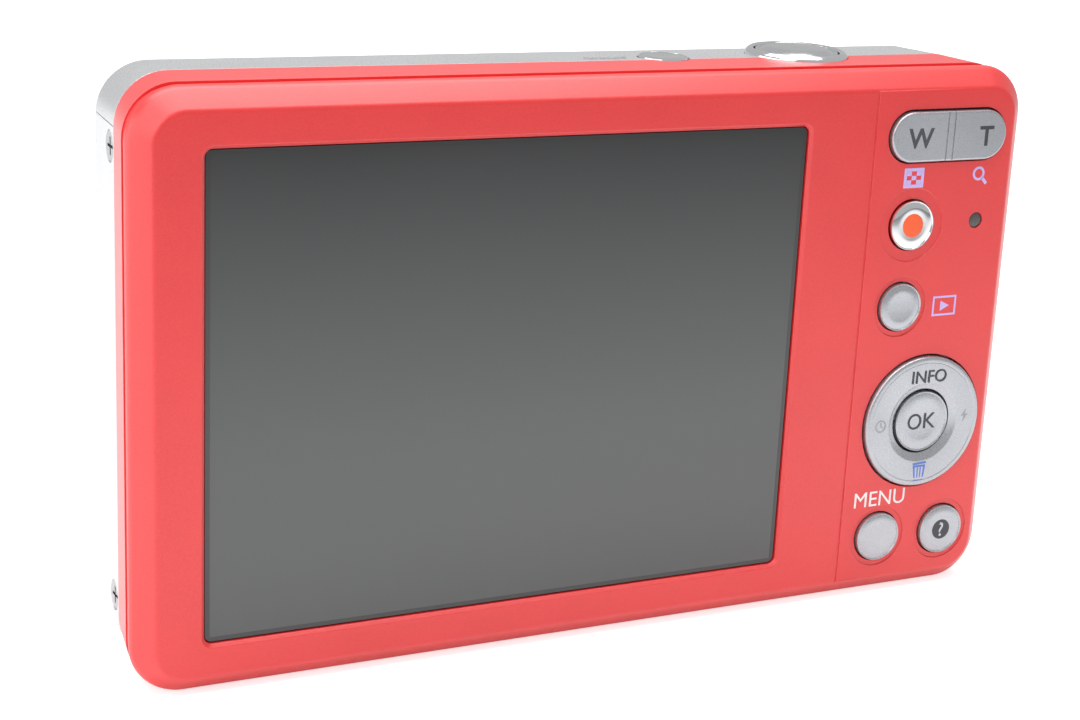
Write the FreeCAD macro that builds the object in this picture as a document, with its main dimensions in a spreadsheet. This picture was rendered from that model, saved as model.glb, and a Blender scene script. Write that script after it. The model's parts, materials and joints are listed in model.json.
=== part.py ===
import FreeCAD, Part
import math
import os

import Sketcher
from FreeCAD import Placement, Rotation, Vector

# Compact digital camera, in millimetres.
# +X is to the right seen from behind, +Y runs forward along the lens axis, +Z is up.
# The origin is the middle of the flat base, at the parting plane of the rear and front halves.

os.makedirs("parts", exist_ok=True)
doc = FreeCAD.newDocument("compact_camera")

DIMENSIONS = {
    # Outer form
    "body_wide": 96.2, "body_high": 57.4, "body_corner": 5.0, "rear_y": -9.7, "front_y": 9.7,
    "bevel": 1.9, "bezel_deep": 2.6, "waist_inset": 0.45, "waist_deep": 1.5, "edge_round": 0.7,
    "ridge_round": 1.2,
    "shoulder_wide": 95.7, "seam_wide": 93.8, "rim_wide": 92.7, "rim_high": 57.0, "rim_y": 8.6,
    "rim_round": 1.2, "band_gap": 0.05,
    # Hollow shared by the shells, centred above the base
    "bay_wide": 90.1, "bay_high": 54.4, "bay_corner": 4.1, "bay_z": 28.5, "rear_wall": 1.7,
    "rear_bay_wide": 92.2,
    # Silver band pieces
    "top_seam_z": 52.4, "left_seam_x": -40.0, "right_seam_x": 43.3, "base_seam_z": 4.4,
    "tab_wide": 9.0, "tab_long": 1.5, "tab_thick": 1.2, "overshoot": 1.0,
    # Front cover
    "front_wide": 89.9, "front_high": 54.2, "front_corner": 4.0, "front_back_y": 7.0,
    "front_round": 1.1, "front_wall": 1.2,
    # Screen
    "screen_x": -10.3, "screen_z": 28.55, "screen_wide": 62.45, "screen_high": 47.0,
    "screen_corner": 0.8, "screen_seat": 1.2, "screen_ledge": 1.1, "screen_glass": 0.65,
    "screen_fit": 0.1, "screen_chamfer": 0.35, "crease_x": 28.75, "crease_wide": 0.24,
    "crease_deep": 0.15, "crease_high": 53.4,
    "lcd_wide": 64.5, "lcd_high": 49.5, "lcd_y": -7.9, "lcd_thick": 1.3,
    "backlight_y": -6.55, "backlight_thick": 1.0,
    "chassis_y": -5.45, "chassis_thick": 0.6, "chassis_wide": 66.6, "chassis_high": 52.0,
    # Rear controls
    "button_gap": 0.15, "button_proud": 0.4, "button_round": 0.25, "dish_deep": 0.14,
    "dish_lip": 0.55, "record_lip": 1.15, "flange_y": -7.95, "flange_thick": 0.5, "flange_lip": 0.55,
    "stem_radius": 1.0, "stem_end_y": -6.55,
    "record_x": 34.25, "record_z": 41.25, "record_radius": 2.77,
    "playback_x": 33.75, "playback_z": 32.45, "playback_radius": 2.70,
    "menu_x": 33.65, "menu_z": 6.65, "menu_radius": 2.83,
    "guide_x": 41.95, "guide_z": 6.55, "guide_radius": 2.90,
    "pad_x": 37.95, "pad_z": 19.43, "pad_radius": 7.5, "pad_proud": 0.5, "pad_hole": 3.6,
    "pad_flange_y": -7.5, "pad_flange_radius": 8.1, "pad_gap": 0.2, "nub_radius": 0.9,
    "nub_circle": 5.6, "gimbal_inner": 6.9, "gimbal_outer": 8.0, "gimbal_y": -6.72,
    "gimbal_thick": 0.3, "centre_radius": 3.35, "centre_flange": 4.3, "centre_flange_y": -6.75,
    "centre_end_y": -6.45,
    "rocker_x": 37.8, "rocker_z": 50.6, "rocker_long": 14.8, "rocker_high": 5.65,
    "rocker_nub_x": 5.0, "groove_wide": 0.22, "groove_step": 0.42, "groove_deep": 0.12,
    "lamp_x": 42.5, "lamp_z": 41.35, "lamp_radius": 0.85,
    "key_board_y": -5.9, "key_board_thick": 0.8, "dome_radius": 1.6, "dome_high": 0.25,
    # Top controls
    "shutter_x": 25.56, "shutter_y": 1.6, "shutter_radius": 4.38, "shutter_top_z": 58.2,
    "shutter_ring_inner": 4.5, "shutter_ring_outer": 5.4, "shutter_ring_top_z": 58.0,
    "shutter_ring_low_z": 55.75, "shutter_flange_z": 54.6, "shutter_flange_radius": 5.0,
    "shutter_stem_z": 53.9, "power_x": 9.75, "power_radius": 2.55, "power_hole": 2.7,
    "power_top_z": 57.6, "power_flange_z": 54.9, "power_stem_z": 53.4,
    "top_board_z": 51.0, "top_board_thick": 0.8, "switch_high": 1.1,
    "top_board_deep": 6.4, "switch_wide": 4.0,
    # Lens
    "lens_x": -16.0, "lens_z": 28.5, "trim_inner": 16.2, "trim_outer": 20.7, "trim_neck": 19.95,
    "trim_y": 8.2, "trim_front_y": 10.7, "base_outer": 19.6, "base_inner": 18.7,
    "base_back_y": -4.2, "base_floor": 0.9, "base_front_y": 8.1,
    "drum_outer": 17.6, "drum_inner": 16.4, "drum_back_y": -3.1, "drum_front_y": 8.0,
    "barrel_outer": 15.9, "barrel_inner": 14.7, "barrel_back_y": -3.0, "barrel_front_y": 9.3,
    "tube_outer": 14.4, "tube_inner": 12.9, "tube_back_y": -2.8, "tube_front_y": 9.9,
    "nose_y": 9.0, "nose_hole": 4.6, "blade_y": 8.45, "blade_thick": 0.4, "blade_radius": 5.0,
    "blade_gap": 0.04, "blade_pivot_x": 1.4, "blade_pivot_z": 9.6, "blade_boss": 1.4,
    "blade_pin": 0.5, "front_lens_radius": 6.5, "front_lens_y": 5.4, "front_lens_thick": 1.6,
    "front_lens_dome": 1.1, "cell_thick": 2.4, "focus_outer": 7.0, "focus_inner": 4.2,
    "focus_y": -2.6, "focus_thick": 1.4, "sensor_wide": 9.4, "sensor_high": 8.4,
    "sensor_thick": 0.9,
    # Zoom gears
    "gear_module": 0.5, "drum_teeth": 72, "idler_teeth": 18, "pinion_teeth": 10,
    "sector_teeth": 25, "gear_face": 1.5, "gear_y": -3.0, "tooth_up": 0.36, "tooth_down": 0.6,
    "tooth_root": 0.72, "tooth_tip": 0.30, "idler_angle": -40.0, "pinion_angle": -75.0,
    "idler_bore": 0.85, "idler_pin": 0.8, "idler_lobe": 3.0, "shaft_radius": 0.5,
    "shaft_bore": 0.55, "shaft_long": 6.0, "motor_radius": 3.6, "motor_y": -1.3,
    "motor_long": 8.2, "motor_bore_end": 0.3,
    # Flash and front lamp
    "flash_x": 14.0, "flash_z": 49.0, "flash_wide": 12.0, "flash_high": 7.0, "flash_corner": 1.0,
    "reflector_inset": 0.5, "reflector_y": 4.9, "reflector_deep": 3.4, "tube_radius": 0.9,
    "tube_y": 6.3,
    "capacitor_x": -42.3, "capacitor_y": 3.4, "capacitor_z": 50.9, "capacitor_radius": 3.9,
    "capacitor_long": 18.0, "timer_x": 27.0, "timer_z": 49.0, "timer_radius": 1.6,
    # Power and storage
    "battery_x": 12.4, "battery_y": -2.5, "battery_z": 2.7, "battery_wide": 30.2,
    "battery_deep": 6.0, "battery_high": 40.5, "holder_wall": 0.6, "holder_gap": 0.05,
    "holder_low_z": 2.0, "card_x": 14.0, "card_y": 4.5, "card_z": 4.0, "card_wide": 24.0,
    "card_deep": 2.1, "card_high": 32.0, "slot_wall": 0.25,
    "latch_x": 30.0, "latch_z": 1.95, "latch_wide": 5.0, "latch_deep": 1.4, "latch_thick": 0.6,
    "door_x": 12.0, "door_y": -3.6, "door_wide": 31.0, "door_deep": 10.5, "door_thick": 1.3,
    "door_gap": 0.1, "hinge_radius": 0.95, "hinge_pin": 0.45, "hinge_ear": 1.0,
    "catch_wide": 5.0, "catch_deep": 4.0, "catch_travel": 2.0,
    "catch_stem": 1.2, "catch_rib": 3.0, "catch_rib_step": 1.0, "pin_fit": 0.01,
    # Base and sides
    "tripod_x": -16.0, "tripod_y": 3.5, "tripod_radius": 3.4, "tripod_bore": 2.55,
    "tripod_bore_long": 5.0, "tripod_high": 5.8,
    "port_x": -33.0, "port_y": 3.6, "port_wide": 10.8, "port_deep": 5.4, "port_cover": 1.2,
    "port_gap": 0.1, "port_pin": 0.35, "port_pin_bore": 0.4, "port_pin_long": 12.0,
    "usb_wide": 8.3, "usb_deep": 3.0, "usb_high": 4.5, "usb_wall": 0.3, "usb_z": 1.7,
    "eyelet_x": 48.6, "eyelet_y": 3.0, "eyelet_z": 30.0, "eyelet_outer": 2.3,
    "eyelet_hole": 1.3, "eyelet_thick": 2.0, "eyelet_foot": 5.0, "eyelet_foot_x": 44.0,
    "eyelet_foot_thick": 1.0,
    "screw_head": 1.43, "screw_head_thick": 0.7, "screw_shank": 0.7, "screw_long": 1.9,
    "screw_fit": 0.05, "screw_slot": 0.3, "screw_slot_long": 1.7, "screw_slot_deep": 0.35,
    "screw_face_x": 46.72, "screw_y": 1.7, "screw_low_z": 6.6, "screw_high_z": 50.3,
    "base_screw_left_x": -24.0, "base_screw_right_x": 6.0, "base_screw_y": 4.15,
    # Electronics
    "board_x": 8.0, "board_y": -4.8, "board_z": 2.2, "board_wide": 36.5, "board_high": 50.0,
    "board_thick": 0.7, "chip_thick": 0.7, "speaker_x": -39.2, "speaker_y": 3.9,
    "speaker_z": 12.5, "speaker_radius": 4.0, "speaker_thick": 3.0,
    "sound_hole": 0.4, "sound_hole_step": 2.0, "chip_unit": 2.5, "key_board_x": 27.0,
    "key_board_wide": 17.5,
}


class Size:
    """A length or angle that carries its spreadsheet formula along with its number."""

    def __init__(self, formula, number):
        self.formula = formula
        self.number = number

    def __add__(self, other):
        return Size("(%s + %s)" % (self.formula, formula(other)), self.number + number(other))

    def __radd__(self, other):
        return Size("(%s + %s)" % (formula(other), self.formula), number(other) + self.number)

    def __sub__(self, other):
        return Size("(%s - %s)" % (self.formula, formula(other)), self.number - number(other))

    def __rsub__(self, other):
        return Size("(%s - %s)" % (formula(other), self.formula), number(other) - self.number)

    def __mul__(self, other):
        return Size("(%s * %s)" % (self.formula, formula(other)), self.number * number(other))

    def __rmul__(self, other):
        return Size("(%s * %s)" % (formula(other), self.formula), number(other) * self.number)

    def __truediv__(self, other):
        return Size("(%s / %s)" % (self.formula, formula(other)), self.number / number(other))

    def __neg__(self):
        return Size("(-%s)" % self.formula, -self.number)


def formula(size):
    return size.formula if isinstance(size, Size) else repr(size)


def number(size):
    return size.number if isinstance(size, Size) else size


class Dimensions:
    """The driving dimensions, each readable by name as a Size."""


def fill_sheet():
    sheet = doc.addObject("Spreadsheet::Sheet", "dims")
    sizes = Dimensions()
    for row, (alias, value) in enumerate(DIMENSIONS.items(), start=1):
        sheet.set("A%d" % row, alias)
        sheet.set("B%d" % row, str(value))
        sheet.setAlias("B%d" % row, alias)
        setattr(sizes, alias, Size("dims." + alias, value))
    doc.recompute()
    return sizes


D = fill_sheet()


# Helpers -----------------------------------------------------------------------------------

PLANE_ROLES = {"XY": "XY_Plane", "XZ": "XZ_Plane", "YZ": "YZ_Plane"}
NORMAL_IS_POSITIVE = {"XY": True, "XZ": False, "YZ": True}


def bind(thing, prop, size):
    """Ties one property to the sheet; a plain number is simply a fixed formula."""
    thing.setExpression(prop, formula(size))


def new_body(label):
    body = doc.addObject("PartDesign::Body", label)
    body.Label = label
    return body


def new_sketch(body, plane, at):
    """A sketch parallel to an origin plane, with its own origin at the point `at`."""
    x, y, z = at
    sketch = body.newObject("Sketcher::SketchObject", "sketch")
    support = [f for f in body.Origin.OriginFeatures if f.Role == PLANE_ROLES[plane]]
    sketch.AttachmentSupport = [(support[0], "")]
    sketch.MapMode = "FlatFace"
    offset = {"XY": (x, y, z), "XZ": (x, z, -y), "YZ": (y, z, x)}[plane]
    for axis, size in zip("xyz", offset):
        bind(sketch, "AttachmentOffset.Base." + axis, size)
    return sketch


def constrain(sketch, kind, *args):
    """Adds a constraint; when the last argument is a Size it is tied to the sheet."""
    size = args[-1]
    if isinstance(size, Size):
        index = sketch.addConstraint(Sketcher.Constraint(kind, *args[:-1], size.number))
        sketch.setExpression("Constraints[%d]" % index, size.formula)
    else:
        sketch.addConstraint(Sketcher.Constraint(kind, *args))


def place_point(sketch, geometry, point, across, up):
    """Fixes a point at its distances from the sketch origin."""
    for kind, axis, size in (("DistanceX", -2, across), ("DistanceY", -1, up)):
        if isinstance(size, Size):
            constrain(sketch, kind, -1, 1, geometry, point, size)
        else:
            constrain(sketch, "PointOnObject", geometry, point, axis)


def disc(radius, across=0, up=0):
    """Outline: a circle, centred on the sketch origin unless told otherwise."""
    def draw(sketch):
        centre = Vector(number(across), number(up), 0)
        circle = sketch.addGeometry(Part.Circle(centre, Vector(0, 0, 1), number(radius)), False)
        constrain(sketch, "Radius", circle, radius)
        place_point(sketch, circle, 3, across, up)
    return draw


def ring(outer, inner):
    """Outline: two circles round the sketch origin."""
    def draw(sketch):
        disc(outer)(sketch)
        disc(inner)(sketch)
    return draw


def polygon(points):
    """Outline: straight lines through the given points."""
    def draw(sketch):
        corners = [Vector(number(a), number(b), 0) for a, b in points]
        count = len(points)
        for i in range(count):
            line = Part.LineSegment(corners[i], corners[(i + 1) % count])
            sketch.addGeometry(line, False)
        for i in range(count):
            constrain(sketch, "Coincident", i, 2, (i + 1) % count, 1)
        for i, (across, up) in enumerate(points):
            place_point(sketch, i, 1, across, up)
    return draw


def slab(wide, high):
    """Outline: a rectangle centred on the sketch origin."""
    a, b = wide * 0.5, high * 0.5
    return polygon([(-a, -b), (a, -b), (a, b), (-a, b)])


def rounded_slab(wide, high, corner):
    """Outline: a rectangle with round corners, centred on the sketch origin."""
    def draw(sketch):
        a, b, r = number(wide) / 2, number(high) / 2, number(corner)
        sides = [((-a + r, -b), (a - r, -b)), ((a, -b + r), (a, b - r)),
                 ((a - r, b), (-a + r, b)), ((-a, b - r), (-a, -b + r))]
        centres = [(a - r, -b + r), (a - r, b - r), (-a + r, b - r), (-a + r, -b + r)]
        for i in range(4):
            start, end = (Vector(*point, 0) for point in sides[i])
            sketch.addGeometry(Part.LineSegment(start, end), False)
            circle = Part.Circle(Vector(*centres[i], 0), Vector(0, 0, 1), r)
            turn = (i - 1) * math.pi / 2
            sketch.addGeometry(Part.ArcOfCircle(circle, turn, turn + math.pi / 2), False)
        for i in range(4):
            line, arc, after = 2 * i, 2 * i + 1, (2 * i + 2) % 8
            constrain(sketch, "Tangent", line, 2, arc, 1)
            constrain(sketch, "Tangent", arc, 2, after, 1)
            constrain(sketch, "Vertical" if i % 2 else "Horizontal", line)
        for arc in (3, 5, 7):
            constrain(sketch, "Equal", 1, arc)
        constrain(sketch, "Radius", 1, corner)
        constrain(sketch, "DistanceY", -1, 1, 0, 1, -(high * 0.5))
        constrain(sketch, "DistanceX", -1, 1, 2, 1, wide * 0.5)
        constrain(sketch, "DistanceY", -1, 1, 4, 1, high * 0.5)
        constrain(sketch, "DistanceX", -1, 1, 6, 1, -(wide * 0.5))
    return draw


def stadium(length, high):
    """Outline: a slot with half-round ends lying along the sketch's first axis."""
    def draw(sketch):
        half, r = number(length - high) / 2, number(high) / 2
        for side in (-1, 1):
            start, end = Vector(-side * half, side * r, 0), Vector(side * half, side * r, 0)
            sketch.addGeometry(Part.LineSegment(end, start), False)
        for side in (-1, 1):
            circle = Part.Circle(Vector(side * half, 0, 0), Vector(0, 0, 1), r)
            turn = -side * math.pi / 2
            sketch.addGeometry(Part.ArcOfCircle(circle, turn, turn + math.pi), False)
        low, top, left, right = 0, 1, 2, 3
        constrain(sketch, "Tangent", low, 2, right, 1)
        constrain(sketch, "Tangent", right, 2, top, 1)
        constrain(sketch, "Tangent", top, 2, left, 1)
        constrain(sketch, "Tangent", left, 2, low, 1)
        constrain(sketch, "Horizontal", low)
        constrain(sketch, "Radius", right, high * 0.5)
        constrain(sketch, "DistanceX", -1, 1, right, 3, (length - high) * 0.5)
        constrain(sketch, "DistanceX", -1, 1, left, 3, -((length - high) * 0.5))
        constrain(sketch, "PointOnObject", right, 3, -1)
    return draw


def sketched(body, plane, at, outline):
    sketch = new_sketch(body, plane, at)
    outline(sketch)
    return sketch


def grow(body, plane, at, outline, length):
    """Pads an outline from `at` towards the positive axis."""
    feature = body.newObject("PartDesign::Pad", "pad")
    feature.Profile = sketched(body, plane, at, outline)
    feature.Reversed = not NORMAL_IS_POSITIVE[plane]
    bind(feature, "Length", length)
    return feature


def cut(body, plane, at, outline, length):
    """Pockets an outline from `at` towards the positive axis."""
    feature = body.newObject("PartDesign::Pocket", "pocket")
    feature.Profile = sketched(body, plane, at, outline)
    feature.Reversed = NORMAL_IS_POSITIVE[plane]
    bind(feature, "Length", length)
    return feature


def loft(body, plane, front, back):
    """Lofts a straight-sided solid between two (point, outline) sections, the front one first."""
    sections = [sketched(body, plane, at, outline) for at, outline in (front, back)]
    feature = body.newObject("PartDesign::AdditiveLoft", "loft")
    feature.Profile = sections[0]
    feature.Sections = [sections[1]]
    feature.Ruled = True
    return feature


def dress(body, kind, prop, size, wanted):
    """Fillets or chamfers the edges of the newest feature that `wanted` accepts."""
    base = body.Tip
    doc.recompute()
    edges = ["Edge%d" % n for n, edge in enumerate(base.Shape.Edges, start=1) if wanted(edge)]
    feature = body.newObject(kind, "dress")
    feature.Base = (base, edges)
    bind(feature, prop, size)
    return feature


def round_edges(body, radius, wanted):
    return dress(body, "PartDesign::Fillet", "Radius", radius, wanted)


def chamfer_edges(body, size, wanted):
    return dress(body, "PartDesign::Chamfer", "Size", size, wanted)


def lies_at(axis, place, reach=None):
    """Test for edges lying wholly at one coordinate, and inside `reach` of a centre if given."""
    def test(edge):
        box = edge.BoundBox
        low, high = {"y": (box.YMin, box.YMax), "z": (box.ZMin, box.ZMax)}[axis]
        if max(abs(low - number(place)), abs(high - number(place))) > 1e-4:
            return False
        return reach is None or reach(box)
    return test


def within(x, z, wide, high):
    """Test for boxes whose sides stay inside a rectangle seen from behind."""
    margin = 0.01
    left, right = number(x - wide * 0.5) - margin, number(x + wide * 0.5) + margin
    low, top = number(z - high * 0.5) - margin, number(z + high * 0.5) + margin
    return lambda box: (left < box.XMin and box.XMax < right and low < box.ZMin and box.ZMax < top)


def block(label, low, size):
    """A Part::Box from its lowest corner and its three lengths."""
    box = doc.addObject("Part::Box", label)
    box.Label = label
    for axis, place in zip("xyz", low):
        bind(box, "Placement.Base." + axis, place)
    for prop, length in zip(("Length", "Width", "Height"), size):
        bind(box, prop, length)
    return box


TURN_FROM_Z = {"x": Rotation(Vector(0, 1, 0), 90), "y": Rotation(Vector(1, 0, 0), -90),
               "z": Rotation()}


def rod(label, base, radius, length, axis):
    """A Part::Cylinder running from its base towards the positive axis."""
    cylinder = doc.addObject("Part::Cylinder", label)
    cylinder.Label = label
    cylinder.Placement = Placement(Vector(), TURN_FROM_Z[axis])
    for name, place in zip("xyz", base):
        bind(cylinder, "Placement.Base." + name, place)
    bind(cylinder, "Radius", radius)
    bind(cylinder, "Height", length)
    return cylinder


def minus(label, base, tool):
    result = doc.addObject("Part::Cut", label)
    result.Label = label
    result.Base = base
    result.Tool = tool
    return result


def group(label, members):
    result = doc.addObject("Part::Compound", label)
    result.Label = label
    result.Links = members
    return result


# Shells ------------------------------------------------------------------------------------

MIDDLE_Z = D.body_high * 0.5
WAIST_Y = D.rear_y + D.bezel_deep
SHOULDER_Y = WAIST_Y + D.waist_deep
WALL_REACH = D.rear_wall + D.overshoot
BUTTONS = {
    "record_button": (D.record_x, D.record_z, D.record_radius, D.record_lip),
    "playback_button": (D.playback_x, D.playback_z, D.playback_radius, D.dish_lip),
    "menu_button": (D.menu_x, D.menu_z, D.menu_radius, D.dish_lip),
    "guide_button": (D.guide_x, D.guide_z, D.guide_radius, D.dish_lip),
}
SCREW_HEIGHTS = (D.screw_low_z, D.screw_high_z)
DOOR_MIDDLE = (D.door_x + D.door_wide * 0.5, D.door_y + D.door_deep * 0.5)
DOOR_HINGE_X = D.door_x + D.hinge_radius
DOOR_HINGE_Z = D.hinge_radius
CATCH_X = D.door_x + D.door_wide - D.catch_wide - D.catch_travel
PORT_HINGE_Z = D.port_cover * 0.5
PORT_HINGE_Y = D.port_y + D.port_deep * 0.5 - PORT_HINGE_Z


def cut_top_controls(body):
    """Openings for the shutter ring and the power button in the roof."""
    roof_z = D.body_high - D.body_corner * 0.5
    ring_hole = disc(D.shutter_ring_outer + D.band_gap)
    cut(body, "XY", (D.shutter_x, D.shutter_y, roof_z), ring_hole, D.body_corner)
    cut(body, "XY", (D.power_x, D.shutter_y, roof_z), disc(D.power_hole), D.body_corner)


def cut_battery_door(body):
    """Opening for the battery door in the floor."""
    hole = slab(D.door_wide + D.door_gap * 2, D.door_deep + D.door_gap * 2)
    cut(body, "XY", (*DOOR_MIDDLE, -D.overshoot), hole, D.base_seam_z)


def rear_cover():
    body = new_body("rear_cover")
    centre = (0, D.rear_y, MIDDLE_Z)
    full = rounded_slab(D.body_wide, D.body_high, D.body_corner)
    grow(body, "XZ", centre, full, D.bezel_deep)
    chamfer_edges(body, D.bevel, lies_at("y", D.rear_y))
    round_edges(body, D.edge_round, lies_at("y", D.rear_y))
    round_edges(body, D.ridge_round, lies_at("y", D.rear_y + D.bevel))
    waist = rounded_slab(D.body_wide - D.waist_inset * 2, D.body_high - D.waist_inset * 2,
                         D.body_corner - D.waist_inset)
    grow(body, "XZ", (0, WAIST_Y, MIDDLE_Z), waist, D.waist_deep)
    shoulder = rounded_slab(D.shoulder_wide, D.body_high, D.body_corner)
    seam = rounded_slab(D.seam_wide, D.body_high, D.body_corner)
    loft(body, "XZ", ((0, 0, MIDDLE_Z), seam), ((0, SHOULDER_Y, MIDDLE_Z), shoulder))
    bay = rounded_slab(D.rear_bay_wide, D.bay_high, D.bay_corner)
    cut(body, "XZ", (0, D.rear_y + D.rear_wall, D.bay_z), bay, -D.rear_y)

    screen_at = (D.screen_x, D.rear_y, D.screen_z)
    opening = rounded_slab(D.screen_wide, D.screen_high, D.screen_corner)
    cut(body, "XZ", screen_at, opening, D.screen_seat)
    chamfer_edges(body, D.screen_chamfer, lies_at("y", D.rear_y, within(
        D.screen_x, D.screen_z, D.screen_wide, D.screen_high)))
    ledge = slab(D.screen_wide - D.screen_ledge * 2, D.screen_high - D.screen_ledge * 2)
    cut(body, "XZ", screen_at, ledge, WALL_REACH)

    crease = slab(D.crease_wide, D.crease_high)
    cut(body, "XZ", (D.crease_x, D.rear_y, MIDDLE_Z), crease, D.crease_deep)
    for x, z, radius, lip in BUTTONS.values():
        cut(body, "XZ", (x, D.rear_y, z), disc(radius + lip), D.dish_deep)
        cut(body, "XZ", (x, D.rear_y, z), disc(radius), WALL_REACH)
    cut(body, "XZ", (D.pad_x, D.rear_y, D.pad_z), disc(D.pad_radius), WALL_REACH)
    cut(body, "XZ", (D.lamp_x, D.rear_y, D.lamp_z), disc(D.lamp_radius), WALL_REACH)
    cut(body, "XZ", (D.rocker_x, D.rear_y, D.rocker_z), stadium(D.rocker_long, D.rocker_high),
        WALL_REACH)
    cut_top_controls(body)
    cut_battery_door(body)
    notch = slab(D.tab_wide + D.band_gap * 2, (D.tab_long + D.band_gap) * 2)
    cut(body, "XY", (0, 0, -D.overshoot), notch, D.base_seam_z)
    return body


def band_piece(label, trims):
    """One piece of the silver band: the whole tapering hoop, less the parts in `trims`."""
    body = new_body(label)
    seam = rounded_slab(D.seam_wide, D.body_high, D.body_corner)
    rim = rounded_slab(D.rim_wide, D.rim_high, D.body_corner)
    loft(body, "XZ", ((0, D.rim_y, D.rim_high * 0.5), rim), ((0, 0, MIDDLE_Z), seam))
    round_edges(body, D.rim_round, lies_at("y", D.rim_y))
    bay = rounded_slab(D.bay_wide, D.bay_high, D.bay_corner)
    cut(body, "XZ", (0, -D.overshoot, D.bay_z), bay, D.rim_y + D.overshoot * 2)
    for left, right, low, high in trims:
        area = polygon([(left, low), (right, low), (right, high), (left, high)])
        cut(body, "XZ", (0, -D.overshoot, 0), area, D.rim_y + D.overshoot * 2)
    return body


LEFT_EDGE, RIGHT_EDGE = -D.body_wide, D.body_wide
LOW_EDGE, HIGH_EDGE = -D.body_high, D.body_high * 2


def cut_side_screws(body, side):
    """Head recesses and shank holes for the two screws of a side plate."""
    head_seat = D.screw_face_x - D.screw_head_thick - D.screw_fit
    inner_face = D.bay_wide * 0.5 - D.overshoot
    for z in SCREW_HEIGHTS:
        for seat, radius in ((head_seat, D.screw_head), (inner_face, D.screw_shank)):
            start = seat if side > 0 else -D.body_wide
            cut(body, "YZ", (start, D.screw_y, z), disc(radius + D.screw_fit), D.body_wide - seat)


def top_cover():
    body = band_piece("top_cover", [(LEFT_EDGE, RIGHT_EDGE, LOW_EDGE, D.top_seam_z)])
    cut_top_controls(body)
    return body


def left_side_plate():
    body = band_piece("left_side_plate", [
        (D.left_seam_x, RIGHT_EDGE, LOW_EDGE, HIGH_EDGE),
        (LEFT_EDGE, RIGHT_EDGE, D.top_seam_z - D.band_gap, HIGH_EDGE)])
    cut_side_screws(body, -1)
    return body


def right_side_plate():
    body = band_piece("right_side_plate", [
        (LEFT_EDGE, D.right_seam_x, LOW_EDGE, HIGH_EDGE),
        (LEFT_EDGE, RIGHT_EDGE, D.top_seam_z - D.band_gap, HIGH_EDGE)])
    cut_side_screws(body, 1)
    slot = slab(D.eyelet_outer * 2 + D.door_gap, D.eyelet_thick + D.door_gap)
    cut(body, "YZ", (D.eyelet_foot_x, D.eyelet_y, D.eyelet_z), slot, D.body_corner)
    return body


def bottom_cover():
    body = band_piece("bottom_cover", [
        (LEFT_EDGE, D.left_seam_x + D.band_gap, LOW_EDGE, HIGH_EDGE),
        (D.right_seam_x - D.band_gap, RIGHT_EDGE, LOW_EDGE, HIGH_EDGE),
        (LEFT_EDGE, RIGHT_EDGE, D.base_seam_z, HIGH_EDGE)])
    cut_battery_door(body)
    tab = slab(D.tab_wide, D.tab_long * 2)
    grow(body, "XY", (0, 0, 0), tab, D.tab_thick)
    under = -D.overshoot
    bush_hole = disc(D.tripod_radius + D.band_gap)
    cut(body, "XY", (D.tripod_x, D.tripod_y, under), bush_hole, D.base_seam_z)
    port = slab(D.port_wide + D.port_gap * 2, D.port_deep + D.port_gap * 2)
    cut(body, "XY", (D.port_x, D.port_y, under), port, D.base_seam_z)
    pin_bore = disc(D.port_pin_bore)
    pin_long = D.port_pin_long + D.port_gap * 2
    cut(body, "YZ", (D.port_x - pin_long * 0.5, PORT_HINGE_Y, PORT_HINGE_Z), pin_bore, pin_long)
    for x in (D.base_screw_left_x, D.base_screw_right_x):
        head = disc(D.screw_head + D.screw_fit)
        cut(body, "XY", (x, D.base_screw_y, under), head,
            D.overshoot + D.screw_head_thick + D.screw_fit)
        shank = disc(D.screw_shank + D.screw_fit)
        cut(body, "XY", (x, D.base_screw_y, under), shank, D.base_seam_z)
    return body


def front_cover():
    body = new_body("front_cover")
    at = (0, D.front_back_y, D.bay_z)
    panel = rounded_slab(D.front_wide, D.front_high, D.front_corner)
    grow(body, "XZ", at, panel, D.front_y - D.front_back_y)
    round_edges(body, D.front_round, lies_at("y", D.front_y))
    hollow = slab(D.front_wide - D.front_corner, D.front_high - D.front_corner)
    cut(body, "XZ", at, hollow, D.front_y - D.front_back_y - D.front_wall)
    fit = D.band_gap
    cut(body, "XZ", (D.lens_x, D.front_back_y, D.lens_z), disc(D.trim_neck + fit), D.rear_wall * 2)
    flash = rounded_slab(D.flash_wide + fit * 2, D.flash_high + fit * 2, D.flash_corner)
    cut(body, "XZ", (D.flash_x, D.front_back_y, D.flash_z), flash, D.rear_wall * 2)
    cut(body, "XZ", (D.timer_x, D.front_back_y, D.timer_z), disc(D.timer_radius + fit),
        D.rear_wall * 2)
    for step in (-1, 0, 1):
        hole_x = D.speaker_x + D.sound_hole_step * step
        cut(body, "XZ", (hole_x, D.front_back_y, D.speaker_z), disc(D.sound_hole),
            D.rear_wall * 2)
    return body


# Screen and electronics --------------------------------------------------------------------

def screen_window():
    body = new_body("screen_window")
    glass_y = D.rear_y + D.screen_seat - D.screen_glass
    pane = rounded_slab(D.screen_wide - D.screen_fit * 2, D.screen_high - D.screen_fit * 2,
                        D.screen_corner - D.screen_fit)
    grow(body, "XZ", (D.screen_x, glass_y, D.screen_z), pane, D.screen_glass)
    return body


def centred_sheet(label, x, y, z, wide, thick, high):
    return block(label, (x - wide * 0.5, y, z - high * 0.5), (wide, thick, high))


def lcd_panel():
    return centred_sheet("lcd_panel", D.screen_x, D.lcd_y, D.screen_z,
                         D.lcd_wide, D.lcd_thick, D.lcd_high)


def backlight():
    return centred_sheet("backlight", D.screen_x, D.backlight_y, D.screen_z,
                         D.lcd_wide, D.backlight_thick, D.lcd_high)


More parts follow.
